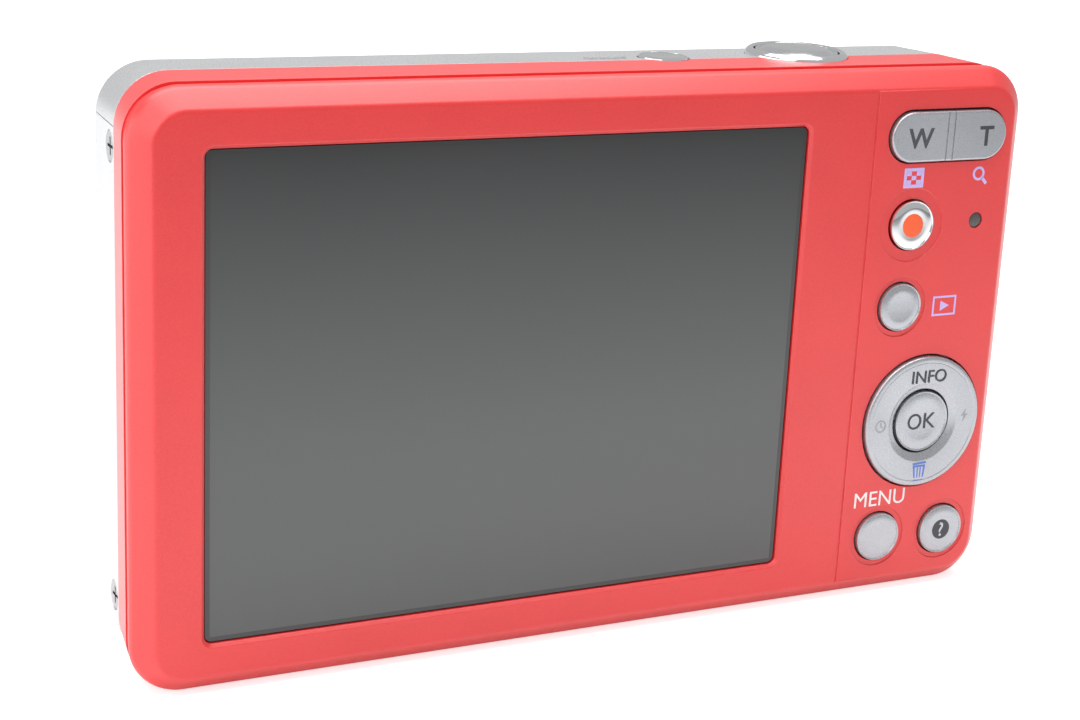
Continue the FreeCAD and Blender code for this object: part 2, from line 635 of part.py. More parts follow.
def chassis_plate():
    body = new_body("chassis_plate")
    plate = rounded_slab(D.chassis_wide, D.chassis_high, D.body_corner)
    grow(body, "XZ", (D.screen_x, D.chassis_y, D.bay_z), plate, D.chassis_thick)
    relief = slab(D.sensor_wide, D.sensor_high)
    cut(body, "XZ", (D.lens_x, D.chassis_y, D.lens_z), relief, D.chassis_thick)
    return body


# Each chip: its place across and up the board as shares of it, then its size in chip units.
CHIPS = [(-0.22, 0.30, 3, 3), (0.18, 0.28, 4, 2), (-0.05, -0.05, 4, 4), (0.25, -0.25, 2, 3),
         (-0.28, -0.33, 2, 2)]


def main_board():
    body = new_body("main_board")
    middle = (D.board_x + D.board_wide * 0.5, D.board_z + D.board_high * 0.5)
    board = slab(D.board_wide, D.board_high)
    grow(body, "XZ", (middle[0], D.board_y, middle[1]), board, D.board_thick)
    chip_y = D.board_y + D.board_thick
    for across, up, wide, high in CHIPS:
        at = (middle[0] + D.board_wide * across, chip_y, middle[1] + D.board_high * up)
        grow(body, "XZ", at, slab(D.chip_unit * wide, D.chip_unit * high), D.chip_thick)
    return body


def key_board():
    return block("key_board", (D.key_board_x, D.key_board_y, D.board_z),
                 (D.key_board_wide, D.key_board_thick, D.board_high + D.chip_unit * 0.5))


def pad_points(radius):
    """Four points round the arrow pad: right, top, left and bottom."""
    x, z = D.pad_x, D.pad_z
    return [(x + radius, z), (x, z + radius), (x - radius, z), (x, z - radius)]


def key_domes():
    places = [(x, z) for x, z, radius, lip in BUTTONS.values()]
    places += [(D.pad_x, D.pad_z)] + pad_points(D.nub_circle)
    places += [(D.rocker_x + D.rocker_nub_x * side, D.rocker_z) for side in (-1, 1)]
    domes = []
    for x, z in places:
        dome = doc.addObject("Part::Cone", "dome")
        dome.Placement = Placement(Vector(), Rotation(Vector(1, 0, 0), 90))
        for axis, place in zip("xyz", (x, D.key_board_y, z)):
            bind(dome, "Placement.Base." + axis, place)
        bind(dome, "Radius1", D.dome_radius)
        bind(dome, "Radius2", D.dome_radius * 0.5)
        bind(dome, "Height", D.dome_high)
        domes.append(dome)
    return group("key_domes", domes)


def top_board():
    body = new_body("top_board")
    right = D.shutter_x + D.shutter_flange_radius
    left = D.power_x - D.shutter_flange_radius
    at = ((left + right) * 0.5, D.shutter_y, D.top_board_z)
    grow(body, "XY", at, slab(right - left, D.top_board_deep), D.top_board_thick)
    for x in (D.shutter_x, D.power_x):
        switch_at = (x, D.shutter_y, D.top_board_z + D.top_board_thick)
        grow(body, "XY", switch_at, slab(D.switch_wide, D.switch_wide), D.switch_high)
    return body


def speaker():
    return rod("speaker", (D.speaker_x, D.speaker_y, D.speaker_z), D.speaker_radius,
               D.speaker_thick, "y")


# Rear controls -----------------------------------------------------------------------------

def rear_button(label):
    """A round push button: proud cap, retaining flange behind the wall, stem to its dome."""
    x, z, radius, _ = BUTTONS[label]
    body = new_body(label)
    face_y = D.rear_y - D.button_proud
    cap = disc(radius - D.button_gap)
    grow(body, "XZ", (x, face_y, z), cap, D.flange_y - face_y)
    round_edges(body, D.button_round, lies_at("y", face_y))
    grow(body, "XZ", (x, D.flange_y, z), disc(radius + D.flange_lip), D.flange_thick)
    stem_y = D.flange_y + D.flange_thick
    grow(body, "XZ", (x, stem_y, z), disc(D.stem_radius), D.stem_end_y - stem_y)
    return body


def arrow_pad():
    body = new_body("arrow_pad")
    face_y = D.rear_y - D.pad_proud
    back_y = D.pad_flange_y + D.flange_thick
    at = (D.pad_x, face_y, D.pad_z)
    grow(body, "XZ", at, ring(D.pad_radius - D.pad_gap, D.pad_hole), back_y - face_y)
    round_edges(body, D.button_round, lies_at("y", face_y))
    flange = ring(D.pad_flange_radius, D.pad_hole)
    grow(body, "XZ", (D.pad_x, D.pad_flange_y, D.pad_z), flange, D.flange_thick)
    for x, z in pad_points(D.nub_circle):
        grow(body, "XZ", (x, back_y, z), disc(D.nub_radius), D.stem_end_y - back_y)
    return body


def pad_gimbal_ring():
    body = new_body("pad_gimbal_ring")
    grow(body, "XZ", (D.pad_x, D.gimbal_y, D.pad_z), ring(D.gimbal_outer, D.gimbal_inner),
         D.gimbal_thick)
    return body


def ok_button():
    body = new_body("ok_button")
    face_y = D.rear_y - D.pad_proud
    at = (D.pad_x, face_y, D.pad_z)
    grow(body, "XZ", at, disc(D.centre_radius), D.centre_end_y - face_y)
    round_edges(body, D.button_round, lies_at("y", face_y))
    grow(body, "XZ", (D.pad_x, D.centre_flange_y, D.pad_z), disc(D.centre_flange),
         D.centre_end_y - D.centre_flange_y)
    return body


def zoom_rocker():
    body = new_body("zoom_rocker")
    face_y = D.rear_y - D.pad_proud
    back_y = D.pad_flange_y + D.flange_thick
    at = (D.rocker_x, face_y, D.rocker_z)
    cap = stadium(D.rocker_long - D.pad_gap * 2, D.rocker_high - D.pad_gap * 2)
    grow(body, "XZ", at, cap, back_y - face_y)
    round_edges(body, D.button_round, lies_at("y", face_y))
    flange = stadium(D.rocker_long + D.flange_lip * 2, D.rocker_high + D.flange_lip * 2)
    grow(body, "XZ", (D.rocker_x, D.pad_flange_y, D.rocker_z), flange, D.flange_thick)
    for side in (-1, 1):
        groove_x = D.rocker_x + D.groove_step * side
        cut(body, "XZ", (groove_x, face_y, D.rocker_z), slab(D.groove_wide, D.rocker_high),
            D.groove_deep)
        nub_x = D.rocker_x + D.rocker_nub_x * side
        grow(body, "XZ", (nub_x, back_y, D.rocker_z), disc(D.nub_radius), D.stem_end_y - back_y)
    return body


def indicator_lamp():
    return rod("indicator_lamp", (D.lamp_x, D.rear_y, D.lamp_z), D.lamp_radius - D.band_gap,
               D.stem_end_y - D.rear_y, "y")


# Top controls ------------------------------------------------------------------------------

def shutter_ring():
    body = new_body("shutter_ring")
    at = (D.shutter_x, D.shutter_y, D.shutter_ring_low_z)
    grow(body, "XY", at, ring(D.shutter_ring_outer, D.shutter_ring_inner),
         D.shutter_ring_top_z - D.shutter_ring_low_z)
    round_edges(body, D.button_round, lies_at("z", D.shutter_ring_top_z))
    return body


def top_button(label, x, radius, top_z, flange_z, flange_radius, stem_z):
    body = new_body(label)
    flange_top = flange_z + D.flange_thick
    grow(body, "XY", (x, D.shutter_y, flange_top), disc(radius), top_z - flange_top)
    round_edges(body, D.button_round, lies_at("z", top_z))
    grow(body, "XY", (x, D.shutter_y, flange_z), disc(flange_radius), D.flange_thick)
    grow(body, "XY", (x, D.shutter_y, stem_z), disc(D.stem_radius), flange_z - stem_z)
    return body


def shutter_button():
    return top_button("shutter_button", D.shutter_x, D.shutter_radius, D.shutter_top_z,
                      D.shutter_flange_z, D.shutter_flange_radius, D.shutter_stem_z)


def power_button():
    return top_button("power_button", D.power_x, D.power_radius, D.power_top_z,
                      D.power_flange_z, D.power_hole + D.flange_lip, D.power_stem_z)


# Lens --------------------------------------------------------------------------------------

def lens_at(y):
    return (D.lens_x, y, D.lens_z)


def polar(centre, radius, degrees):
    """The point at a radius and an angle, seen from behind, from another point."""
    turn = math.radians(degrees)
    return (centre[0] + radius * math.cos(turn), centre[1] + radius * math.sin(turn))


DRUM_PITCH = D.gear_module * D.drum_teeth * 0.5
IDLER_PITCH = D.gear_module * D.idler_teeth * 0.5
PINION_PITCH = D.gear_module * D.pinion_teeth * 0.5
IDLER_TURN = D.idler_angle.number
PINION_TURN = D.pinion_angle.number
IDLER_AT = polar((D.lens_x, D.lens_z), DRUM_PITCH + IDLER_PITCH, IDLER_TURN)
PINION_AT = polar(IDLER_AT, IDLER_PITCH + PINION_PITCH, PINION_TURN)
GEAR_END_Y = D.gear_y + D.gear_face


def add_teeth(body, centre, pitch_radius, first_angle, spacing, count):
    """Adds `count` straight-sided teeth, one every `spacing` degrees, to a gear blank."""
    root, tip = pitch_radius - D.tooth_down, pitch_radius + D.tooth_up
    half_root, half_tip = D.tooth_root * 0.5, D.tooth_tip * 0.5
    inside = root - D.tooth_up
    tooth = polygon([(inside, -half_root), (root, -half_root), (tip, -half_tip),
                     (tip, half_tip), (root, half_root), (inside, half_root)])
    pad = grow(body, "XZ", (centre[0], D.gear_y, centre[1]), tooth, D.gear_face)
    sketch = pad.Profile[0]
    sketch.AttachmentOffset = Placement(Vector(), Rotation(Vector(0, 0, 1), first_angle))
    pattern = body.newObject("PartDesign::PolarPattern", "teeth")
    pattern.Originals = [pad]
    pattern.Axis = (sketch, ["N_Axis"])
    pattern.Angle = 360 if count * spacing >= 360 else (count - 1) * spacing
    pattern.Occurrences = count
    body.Tip = pattern


def lens_base():
    body = new_body("lens_base")
    floor_y = D.base_back_y + D.base_floor
    grow(body, "XZ", lens_at(D.base_back_y), disc(D.base_outer), D.base_floor)
    lobe_at = (IDLER_AT[0], D.base_back_y, IDLER_AT[1])
    grow(body, "XZ", lobe_at, disc(D.idler_lobe), D.base_floor)
    grow(body, "XZ", lens_at(floor_y), ring(D.base_outer, D.base_inner),
         D.base_front_y - floor_y)
    gear_room = disc(IDLER_PITCH + D.tooth_up * 2)
    idler_floor = (IDLER_AT[0], floor_y, IDLER_AT[1])
    cut(body, "XZ", idler_floor, gear_room, GEAR_END_Y + D.tooth_up - floor_y)
    grow(body, "XZ", idler_floor, disc(D.idler_pin), GEAR_END_Y - floor_y)
    frame = slab(D.sensor_wide + D.tooth_down, D.sensor_high + D.tooth_down)
    cut(body, "XZ", lens_at(D.base_back_y), frame, D.base_floor)
    return body


def cam_drum():
    body = new_body("cam_drum")
    grow(body, "XZ", lens_at(D.drum_back_y), ring(D.drum_outer, D.drum_inner),
         D.drum_front_y - D.drum_back_y)
    spacing = 360 / D.drum_teeth.number
    add_teeth(body, (D.lens_x, D.lens_z), DRUM_PITCH, IDLER_TURN - 2 * spacing, spacing,
              int(D.sector_teeth.number))
    return body


def idler_gear():
    body = new_body("idler_gear")
    at = (IDLER_AT[0], D.gear_y, IDLER_AT[1])
    grow(body, "XZ", at, disc(IDLER_PITCH - D.tooth_down), D.gear_face)
    spacing = 360 / D.idler_teeth.number
    add_teeth(body, IDLER_AT, IDLER_PITCH, IDLER_TURN + 180 + spacing / 2, spacing,
              int(D.idler_teeth.number))
    cut(body, "XZ", at, disc(D.idler_bore), D.gear_face)
    return body


def motor_pinion():
    body = new_body("motor_pinion")
    at = (PINION_AT[0], D.gear_y, PINION_AT[1])
    grow(body, "XZ", at, disc(PINION_PITCH - D.tooth_down), D.gear_face)
    idler_spacing = 360 / D.idler_teeth.number
    spacing = 360 / D.pinion_teeth.number
    offset = (IDLER_TURN + 180 + idler_spacing / 2 - PINION_TURN) % idler_spacing
    space_angle = PINION_TURN + 180 - offset * spacing / idler_spacing
    add_teeth(body, PINION_AT, PINION_PITCH, space_angle + spacing / 2, spacing,
              int(D.pinion_teeth.number))
    shaft_at = (PINION_AT[0], GEAR_END_Y, PINION_AT[1])
    grow(body, "XZ", shaft_at, disc(D.shaft_radius), D.shaft_long)
    return body


def zoom_motor():
    can = rod("motor_can", (PINION_AT[0], D.motor_y, PINION_AT[1]), D.motor_radius,
              D.motor_long, "y")
    bore = rod("motor_bore", (PINION_AT[0], D.motor_y, PINION_AT[1]), D.shaft_bore,
               D.shaft_long + D.motor_bore_end, "y")
    return minus("zoom_motor", can, bore)


def outer_barrel():
    body = new_body("outer_barrel")
    grow(body, "XZ", lens_at(D.barrel_back_y), ring(D.barrel_outer, D.barrel_inner),
         D.barrel_front_y - D.barrel_back_y)
    round_edges(body, D.button_round, lies_at("y", D.barrel_front_y))
    return body


def inner_barrel():
    body = new_body("inner_barrel")
    grow(body, "XZ", lens_at(D.tube_back_y), ring(D.tube_outer, D.tube_inner),
         D.tube_front_y - D.tube_back_y)
    round_edges(body, D.button_round, lies_at("y", D.tube_front_y))
    cell_y = D.front_lens_y - D.blade_thick
    cell = ring(D.tube_inner + D.blade_thick, D.front_lens_radius - D.button_proud)
    grow(body, "XZ", lens_at(cell_y), cell, D.blade_thick)
    seat = ring(D.tube_inner + D.blade_thick, D.front_lens_radius + D.band_gap)
    grow(body, "XZ", lens_at(D.front_lens_y), seat, D.cell_thick - D.blade_thick)
    return body


def front_lens():
    depth = D.front_lens_thick + D.front_lens_dome
    edge = rod("front_lens_edge", lens_at(D.front_lens_y), D.front_lens_radius, depth, "y")
    dome = doc.addObject("Part::Sphere", "front_lens_dome")
    radius = (D.front_lens_radius * D.front_lens_radius + D.front_lens_dome * D.front_lens_dome)
    radius = radius / (D.front_lens_dome * 2)
    bind(dome, "Radius", radius)
    for axis, place in zip("xyz", lens_at(D.front_lens_y + depth - radius)):
        bind(dome, "Placement.Base." + axis, place)
    lens = doc.addObject("Part::Common", "front_lens")
    lens.Label = "front_lens"
    lens.Base = edge
    lens.Tool = dome
    return lens


def nose_plate():
    body = new_body("nose_plate")
    face = ring(D.tube_inner - D.band_gap, D.nose_hole)
    grow(body, "XZ", lens_at(D.nose_y), face, D.tube_front_y - D.nose_y)
    chamfer_edges(body, D.blade_thick, lies_at("y", D.tube_front_y, within(
        D.lens_x, D.lens_z, D.nose_hole * 2, D.nose_hole * 2)))
    for side in (-1, 1):
        x, z = blade_pivot(side)
        grow(body, "XZ", (x, D.blade_y, z), disc(D.blade_pin), D.nose_y - D.blade_y)
    return body


def blade_pivot(side):
    return (D.lens_x + D.blade_pivot_x * side, D.lens_z - D.blade_pivot_z * side)


def barrier_blade(label, side):
    """A half-round shutter over the lens, with an arm that turns on its own pin."""
    body = new_body(label)
    grow(body, "XZ", lens_at(D.blade_y), disc(D.blade_radius), D.blade_thick)
    reach = D.blade_radius + D.overshoot
    half_plane = slab(reach, reach * 2)
    cut_x = D.lens_x - (reach * 0.5 - D.blade_gap) * side
    cut(body, "XZ", (cut_x, D.blade_y, D.lens_z), half_plane, D.blade_thick)
    pivot_x, pivot_z = blade_pivot(side)
    arm_high = D.blade_pivot_z - D.blade_radius * 0.5
    arm_z = pivot_z + arm_high * 0.5 * side
    arm_wide = (D.blade_boss - D.blade_gap) * 2
    grow(body, "XZ", (pivot_x, D.blade_y, arm_z), slab(arm_wide, arm_high), D.blade_thick)
    grow(body, "XZ", (pivot_x, D.blade_y, pivot_z), disc(arm_wide * 0.5), D.blade_thick)
    bore = disc(D.blade_pin + D.band_gap)
    cut(body, "XZ", (pivot_x, D.blade_y, pivot_z), bore, D.blade_thick)
    return body


def focus_holder():
    body = new_body("focus_holder")
    grow(body, "XZ", lens_at(D.focus_y), ring(D.focus_outer, D.focus_inner), D.focus_thick)
    return body


def focus_lens():
    return rod("focus_lens", lens_at(D.focus_y), D.focus_inner - D.band_gap, D.focus_thick, "y")


def image_sensor():
    return centred_sheet("image_sensor", D.lens_x, D.base_back_y + D.band_gap, D.lens_z,
                         D.sensor_wide, D.sensor_thick, D.sensor_high)


def lens_trim_ring():
    body = new_body("lens_trim_ring")
    grow(body, "XZ", lens_at(D.trim_y), ring(D.trim_neck, D.trim_inner), D.front_y - D.trim_y)
    grow(body, "XZ", lens_at(D.front_y), ring(D.trim_outer, D.trim_inner),
         D.trim_front_y - D.front_y)
    round_edges(body, D.button_proud, lies_at("y", D.trim_front_y))
    return body


# Flash and front lamp ----------------------------------------------------------------------

def flash_window():
    body = new_body("flash_window")
    pane = rounded_slab(D.flash_wide, D.flash_high, D.flash_corner)
    back_y = D.front_y - D.front_wall + D.band_gap
    grow(body, "XZ", (D.flash_x, back_y, D.flash_z), pane, D.front_y - back_y)
    return body


def flash_reflector():
    body = new_body("flash_reflector")
    at = (D.flash_x, D.reflector_y, D.flash_z)
    wide = D.flash_wide - D.reflector_inset * 2
    high = D.flash_high - D.reflector_inset * 2
    grow(body, "XZ", at, slab(wide, high), D.reflector_deep)
    inner_at = (D.flash_x, D.reflector_y + D.holder_wall, D.flash_z)
    hollow = slab(wide - D.holder_wall * 2, high - D.holder_wall * 2)
    cut(body, "XZ", inner_at, hollow, D.reflector_deep)
    hole = disc(D.tube_radius + D.band_gap)
    cut(body, "YZ", (D.flash_x - D.flash_wide, D.tube_y, D.flash_z), hole, D.flash_wide * 2)
    return body


def flash_tube():
    long = D.flash_wide + D.reflector_inset * 2
    return rod("flash_tube", (D.flash_x - long * 0.5, D.tube_y, D.flash_z), D.tube_radius,
               long, "x")


def flash_capacitor():
    return rod("flash_capacitor", (D.capacitor_x, D.capacitor_y, D.capacitor_z),
               D.capacitor_radius, D.capacitor_long, "x")


def timer_lamp():
    back_y = D.front_y - D.front_wall
    return rod("timer_lamp", (D.timer_x, back_y, D.timer_z), D.timer_radius,
               D.front_y - back_y, "y")


# Battery, card and their door --------------------------------------------------------------

def battery():
    return block("battery", (D.battery_x, D.battery_y, D.battery_z),
                 (D.battery_wide, D.battery_deep, D.battery_high))


def sleeve(label, low, size, gap, wall):
    """A box open at the bottom that wraps a block given by its lowest corner and size."""
    body = new_body(label)
    middle = (low[0] + size[0] * 0.5, low[1] + size[1] * 0.5)
    inner = slab(size[0] + gap * 2, size[1] + gap * 2)
    outer = slab(size[0] + (gap + wall) * 2, size[1] + (gap + wall) * 2)
    high = low[2] + size[2] - D.holder_low_z
    grow(body, "XY", (*middle, D.holder_low_z), outer, high + gap + wall)
    cut(body, "XY", (*middle, D.holder_low_z), inner, high + gap)
    return body


def battery_holder():
    low = (D.battery_x, D.battery_y, D.battery_z)
    size = (D.battery_wide, D.battery_deep, D.battery_high)
    body = sleeve("battery_holder", low, size, D.holder_gap, D.holder_wall)
    notch = slab(D.latch_wide + D.door_gap * 2, D.latch_deep * 2)
    notch_at = (D.latch_x + D.latch_wide * 0.5, D.battery_y + D.battery_deep, D.holder_low_z)
    cut(body, "XY", notch_at, notch, D.latch_thick + D.door_gap)
    ear_wide = (D.hinge_radius - D.band_gap) * 2
    arm_start = D.battery_y + D.battery_deep + D.holder_gap
    arm_end = D.door_y + D.door_deep
    arm_at = (DOOR_HINGE_X, (arm_start + arm_end) * 0.5, D.holder_low_z)
    grow(body, "XY", arm_at, slab(ear_wide, arm_end - arm_start), D.hinge_ear)
    for start in (D.door_y, arm_end - D.hinge_ear + D.door_gap):
        thick = D.hinge_ear - D.door_gap
        ear_at = (DOOR_HINGE_X, start + thick * 0.5, DOOR_HINGE_Z)
        top_z = D.holder_low_z + D.hinge_ear
        grow(body, "XY", ear_at, slab(ear_wide, thick), top_z - DOOR_HINGE_Z)
        eye_at = (DOOR_HINGE_X, start, DOOR_HINGE_Z)
        grow(body, "XZ", eye_at, disc(ear_wide * 0.5), thick)
    bore_at = (DOOR_HINGE_X, D.door_y - D.overshoot, DOOR_HINGE_Z)
    cut(body, "XZ", bore_at, disc(D.hinge_pin + D.pin_fit), D.door_deep + D.overshoot * 2)
    return body


def door_pin():
    return rod("door_pin", (DOOR_HINGE_X, D.door_y, DOOR_HINGE_Z), D.hinge_pin, D.door_deep, "y")


def battery_door():
    body = new_body("battery_door")
    plate_x = DOOR_HINGE_X + D.hinge_radius + D.door_gap * 2
    door_end = D.door_x + D.door_wide
    plate_at = ((plate_x + door_end) * 0.5, DOOR_MIDDLE[1], 0)
    grow(body, "XY", plate_at, slab(door_end - plate_x, D.door_deep), D.door_thick)
    knuckle_long = D.door_deep - (D.hinge_ear + D.door_gap) * 2
    neck_at = ((DOOR_HINGE_X + plate_x) * 0.5, DOOR_MIDDLE[1], 0)
    grow(body, "XY", neck_at, slab(plate_x - DOOR_HINGE_X, knuckle_long), D.door_thick)
    knuckle_y = D.door_y + D.hinge_ear + D.door_gap
    knuckle_at = (DOOR_HINGE_X, knuckle_y, DOOR_HINGE_Z)
    grow(body, "XZ", knuckle_at, disc(D.hinge_radius), knuckle_long)
    cut(body, "XZ", knuckle_at, disc(D.hinge_pin + D.band_gap), knuckle_long)
    recess = slab(D.catch_wide + D.catch_travel + D.door_gap * 2, D.catch_deep + D.door_gap * 2)
    recess_at = (CATCH_X + (D.catch_wide - D.catch_travel) * 0.5, DOOR_MIDDLE[1], -D.overshoot)
    cut(body, "XY", recess_at, recess, D.overshoot + D.latch_thick + D.door_gap)
    slot = slab(D.catch_stem + D.catch_travel + D.door_gap * 2, D.catch_stem + D.door_gap * 2)
    cut(body, "XY", (*recess_at[:2], -D.overshoot), slot, D.overshoot + D.base_seam_z)
    return body


def door_catch():
    body = new_body("door_catch")
    at_y = DOOR_MIDDLE[1]
    middle_x = CATCH_X + D.catch_wide * 0.5
    slab_at = (middle_x, at_y, D.band_gap)
    grow(body, "XY", slab_at, slab(D.catch_wide, D.catch_deep), D.latch_thick)
    hook_z = D.door_thick + D.band_gap
    stem_at = (middle_x, at_y, D.latch_thick)
    grow(body, "XY", stem_at, slab(D.catch_stem, D.catch_stem), hook_z - D.latch_thick)
    hook_end = D.door_x + D.door_wide - D.door_gap
    hook_start = middle_x - D.catch_stem
    hook_at = ((hook_start + hook_end) * 0.5, at_y, hook_z)
    grow(body, "XY", hook_at, slab(hook_end - hook_start, D.catch_deep), D.holder_wall - D.door_gap)
    for step in (-1, 0, 1):
        rib_x = middle_x + D.catch_rib_step * step
        cut(body, "XY", (rib_x, at_y, D.band_gap), slab(D.screw_slot, D.catch_rib),
            D.screw_slot * 0.5)
    return body


def battery_latch():
    low_y = D.battery_y + D.battery_deep - D.latch_deep + D.screw_slot
    return block("battery_latch", (D.latch_x, low_y, D.latch_z),
                 (D.latch_wide, D.latch_deep, D.latch_thick))


def memory_card():
    return block("memory_card", (D.card_x, D.card_y, D.card_z),
                 (D.card_wide, D.card_deep, D.card_high))


def card_slot():
    body = new_body("card_slot")
    gap, wall = D.holder_gap, D.slot_wall
    middle = (D.card_x + D.card_wide * 0.5, D.card_y + D.card_deep * 0.5, D.card_z)
    outer = slab(D.card_wide + (gap + wall) * 2, D.card_deep + (gap + wall) * 2)
    inner = slab(D.card_wide + gap * 2, D.card_deep + gap * 2)
    grow(body, "XY", middle, outer, D.card_high + gap + wall)
    cut(body, "XY", middle, inner, D.card_high + gap)
    return body


# Base, port and strap ----------------------------------------------------------------------

def port_cover():
    body = new_body("port_cover")
    low_y = D.port_y - D.port_deep * 0.5
    flap_at = (D.port_x, (low_y + PORT_HINGE_Y) * 0.5, 0)
    grow(body, "XY", flap_at, slab(D.port_wide, PORT_HINGE_Y - low_y), D.port_cover)
    for long, radius in ((D.port_wide, PORT_HINGE_Z), (D.port_pin_long, D.port_pin)):
        start = (D.port_x - long * 0.5, PORT_HINGE_Y, PORT_HINGE_Z)
        grow(body, "YZ", start, disc(radius), long)
    return body


def usb_connector():
    low = (D.port_x - D.usb_wide * 0.5, D.port_y - D.usb_deep * 0.5, D.usb_z)
    shell = block("usb_shell", low, (D.usb_wide, D.usb_deep, D.usb_high))
    mouth = block("usb_mouth", (low[0] + D.usb_wall, low[1] + D.usb_wall, D.usb_z),
                  (D.usb_wide - D.usb_wall * 2, D.usb_deep - D.usb_wall * 2,
                   D.usb_high - D.usb_wall))
    return minus("usb_connector", shell, mouth)


def tripod_bush():
    body = new_body("tripod_bush")
    at = (D.tripod_x, D.tripod_y, 0)
    grow(body, "XY", at, disc(D.tripod_radius), D.tripod_high)
    cut(body, "XY", at, disc(D.tripod_bore), D.tripod_bore_long)
    return body


def strap_eyelet():
    body = new_body("strap_eyelet")
    low_z = D.eyelet_z - D.eyelet_thick * 0.5
    shank_long = D.eyelet_x - D.eyelet_foot_x
    shank_at = (D.eyelet_foot_x + shank_long * 0.5, D.eyelet_y, low_z)
    grow(body, "XY", shank_at, slab(shank_long, D.eyelet_outer * 2), D.eyelet_thick)
    grow(body, "XY", (D.eyelet_x, D.eyelet_y, low_z), disc(D.eyelet_outer), D.eyelet_thick)
    foot_at = (D.eyelet_foot_x, D.eyelet_y, D.eyelet_z)
    grow(body, "YZ", foot_at, slab(D.eyelet_foot, D.eyelet_foot), D.eyelet_foot_thick)
    cut(body, "XY", (D.eyelet_x, D.eyelet_y, low_z), disc(D.eyelet_hole), D.eyelet_thick)
    return body


def screw(at, outward):
    """A cross-head screw whose head faces along `outward`, the top of its head at `at`."""
    body = new_body("screw")
    body.Placement = Placement(Vector(), Rotation(Vector(0, 0, 1), outward))
    for axis, place in zip("xyz", at):
        bind(body, "Placement.Base." + axis, place)
    head_z = -D.screw_head_thick
    grow(body, "XY", (0, 0, head_z), disc(D.screw_head), D.screw_head_thick)
    grow(body, "XY", (0, 0, head_z - D.screw_long), disc(D.screw_shank), D.screw_long)
    for wide, high in ((D.screw_slot_long, D.screw_slot), (D.screw_slot, D.screw_slot_long)):
        cut(body, "XY", (0, 0, -D.screw_slot_deep), slab(wide, high), D.overshoot)
    return body


def case_screws():
    screws = []
    for side in (-1, 1):
        for z in SCREW_HEIGHTS:
            screws.append(screw((D.screw_face_x * side, D.screw_y, z), Vector(side, 0, 0)))
    for x in (D.base_screw_left_x, D.base_screw_right_x):
        screws.append(screw((x, D.base_screw_y, D.band_gap), Vector(0, 0, -1)))
    return group("case_screws", screws)


# Assembly ----------------------------------------------------------------------------------

def build():
    pieces = [
        rear_cover(), front_cover(), top_cover(), left_side_plate(), right_side_plate(),
        bottom_cover(), screen_window(), lcd_panel(), backlight(), chassis_plate(),
        main_board(), key_board(), key_domes(), top_board(), speaker(),
        arrow_pad(), pad_gimbal_ring(), ok_button(), zoom_rocker(), indicator_lamp(),
        shutter_ring(), shutter_button(), power_button(),
        lens_base(), cam_drum(), idler_gear(), motor_pinion(), zoom_motor(),
        outer_barrel(), inner_barrel(), front_lens(), nose_plate(),
        barrier_blade("left_blade", -1), barrier_blade("right_blade", 1),
        focus_holder(), focus_lens(), image_sensor(), lens_trim_ring(),
        flash_window(), flash_reflector(), flash_tube(), flash_capacitor(), timer_lamp(),
        battery(), battery_holder(), door_pin(), battery_door(), door_catch(),
        battery_latch(), memory_card(), card_slot(),
        port_cover(), usb_connector(), tripod_bush(), strap_eyelet(), case_screws(),
    ]
    pieces += [rear_button(label) for label in BUTTONS]
    return pieces


def check_and_export(pieces):
    doc.recompute()
    faults = [thing.Label for thing in doc.Objects
              if "Invalid" in thing.State or "Error" in thing.State]
    for piece in pieces:
        shape = piece.Shape
        if shape.isNull() or not shape.isValid() or not shape.Solids:
            faults.append(piece.Label)
    if faults:
        raise RuntimeError("faulty objects: " + ", ".join(faults))
    for piece in pieces:
        piece.Shape.exportStep("parts/%s.step" % piece.Label)


check_and_export(build())
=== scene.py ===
"""Looks of a compact digital camera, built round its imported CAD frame.

The frame is in metres: +X to the right seen from behind, +Y forward along the lens, +Z up.
Small sizes are written in millimetres and turned into metres by MM or by facing().
"""
import json
import math

import bmesh
import bpy
from mathutils import Matrix, Vector


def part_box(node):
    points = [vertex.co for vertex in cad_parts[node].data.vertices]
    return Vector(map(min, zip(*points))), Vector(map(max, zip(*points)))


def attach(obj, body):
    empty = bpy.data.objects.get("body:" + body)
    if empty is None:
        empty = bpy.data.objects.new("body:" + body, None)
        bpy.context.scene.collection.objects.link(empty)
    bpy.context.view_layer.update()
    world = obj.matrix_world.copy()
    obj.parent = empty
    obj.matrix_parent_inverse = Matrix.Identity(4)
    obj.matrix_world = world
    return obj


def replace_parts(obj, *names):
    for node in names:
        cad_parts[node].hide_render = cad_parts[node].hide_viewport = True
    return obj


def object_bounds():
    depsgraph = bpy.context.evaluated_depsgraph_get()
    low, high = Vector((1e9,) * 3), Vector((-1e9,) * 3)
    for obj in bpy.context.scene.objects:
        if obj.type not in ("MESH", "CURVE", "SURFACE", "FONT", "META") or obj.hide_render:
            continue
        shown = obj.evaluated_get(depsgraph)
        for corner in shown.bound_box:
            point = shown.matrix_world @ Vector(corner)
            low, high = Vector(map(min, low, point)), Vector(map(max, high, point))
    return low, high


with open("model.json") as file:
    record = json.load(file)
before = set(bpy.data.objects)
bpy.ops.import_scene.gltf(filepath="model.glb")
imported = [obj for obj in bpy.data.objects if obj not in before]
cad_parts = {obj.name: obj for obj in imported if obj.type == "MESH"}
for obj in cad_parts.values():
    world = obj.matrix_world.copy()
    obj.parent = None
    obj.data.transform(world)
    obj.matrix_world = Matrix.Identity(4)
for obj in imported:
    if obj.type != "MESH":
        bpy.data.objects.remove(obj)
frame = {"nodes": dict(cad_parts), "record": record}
CAD_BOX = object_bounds()
NODES = frame["nodes"]
RECORD = frame["record"]
BODY_OF = {node: body for body, nodes in RECORD["behaviour"]["bodies"].items() for node in nodes}
SLOT_OF = {part["node"]: part["material_slot"] for part in RECORD["subparts"]}
MM = 0.001


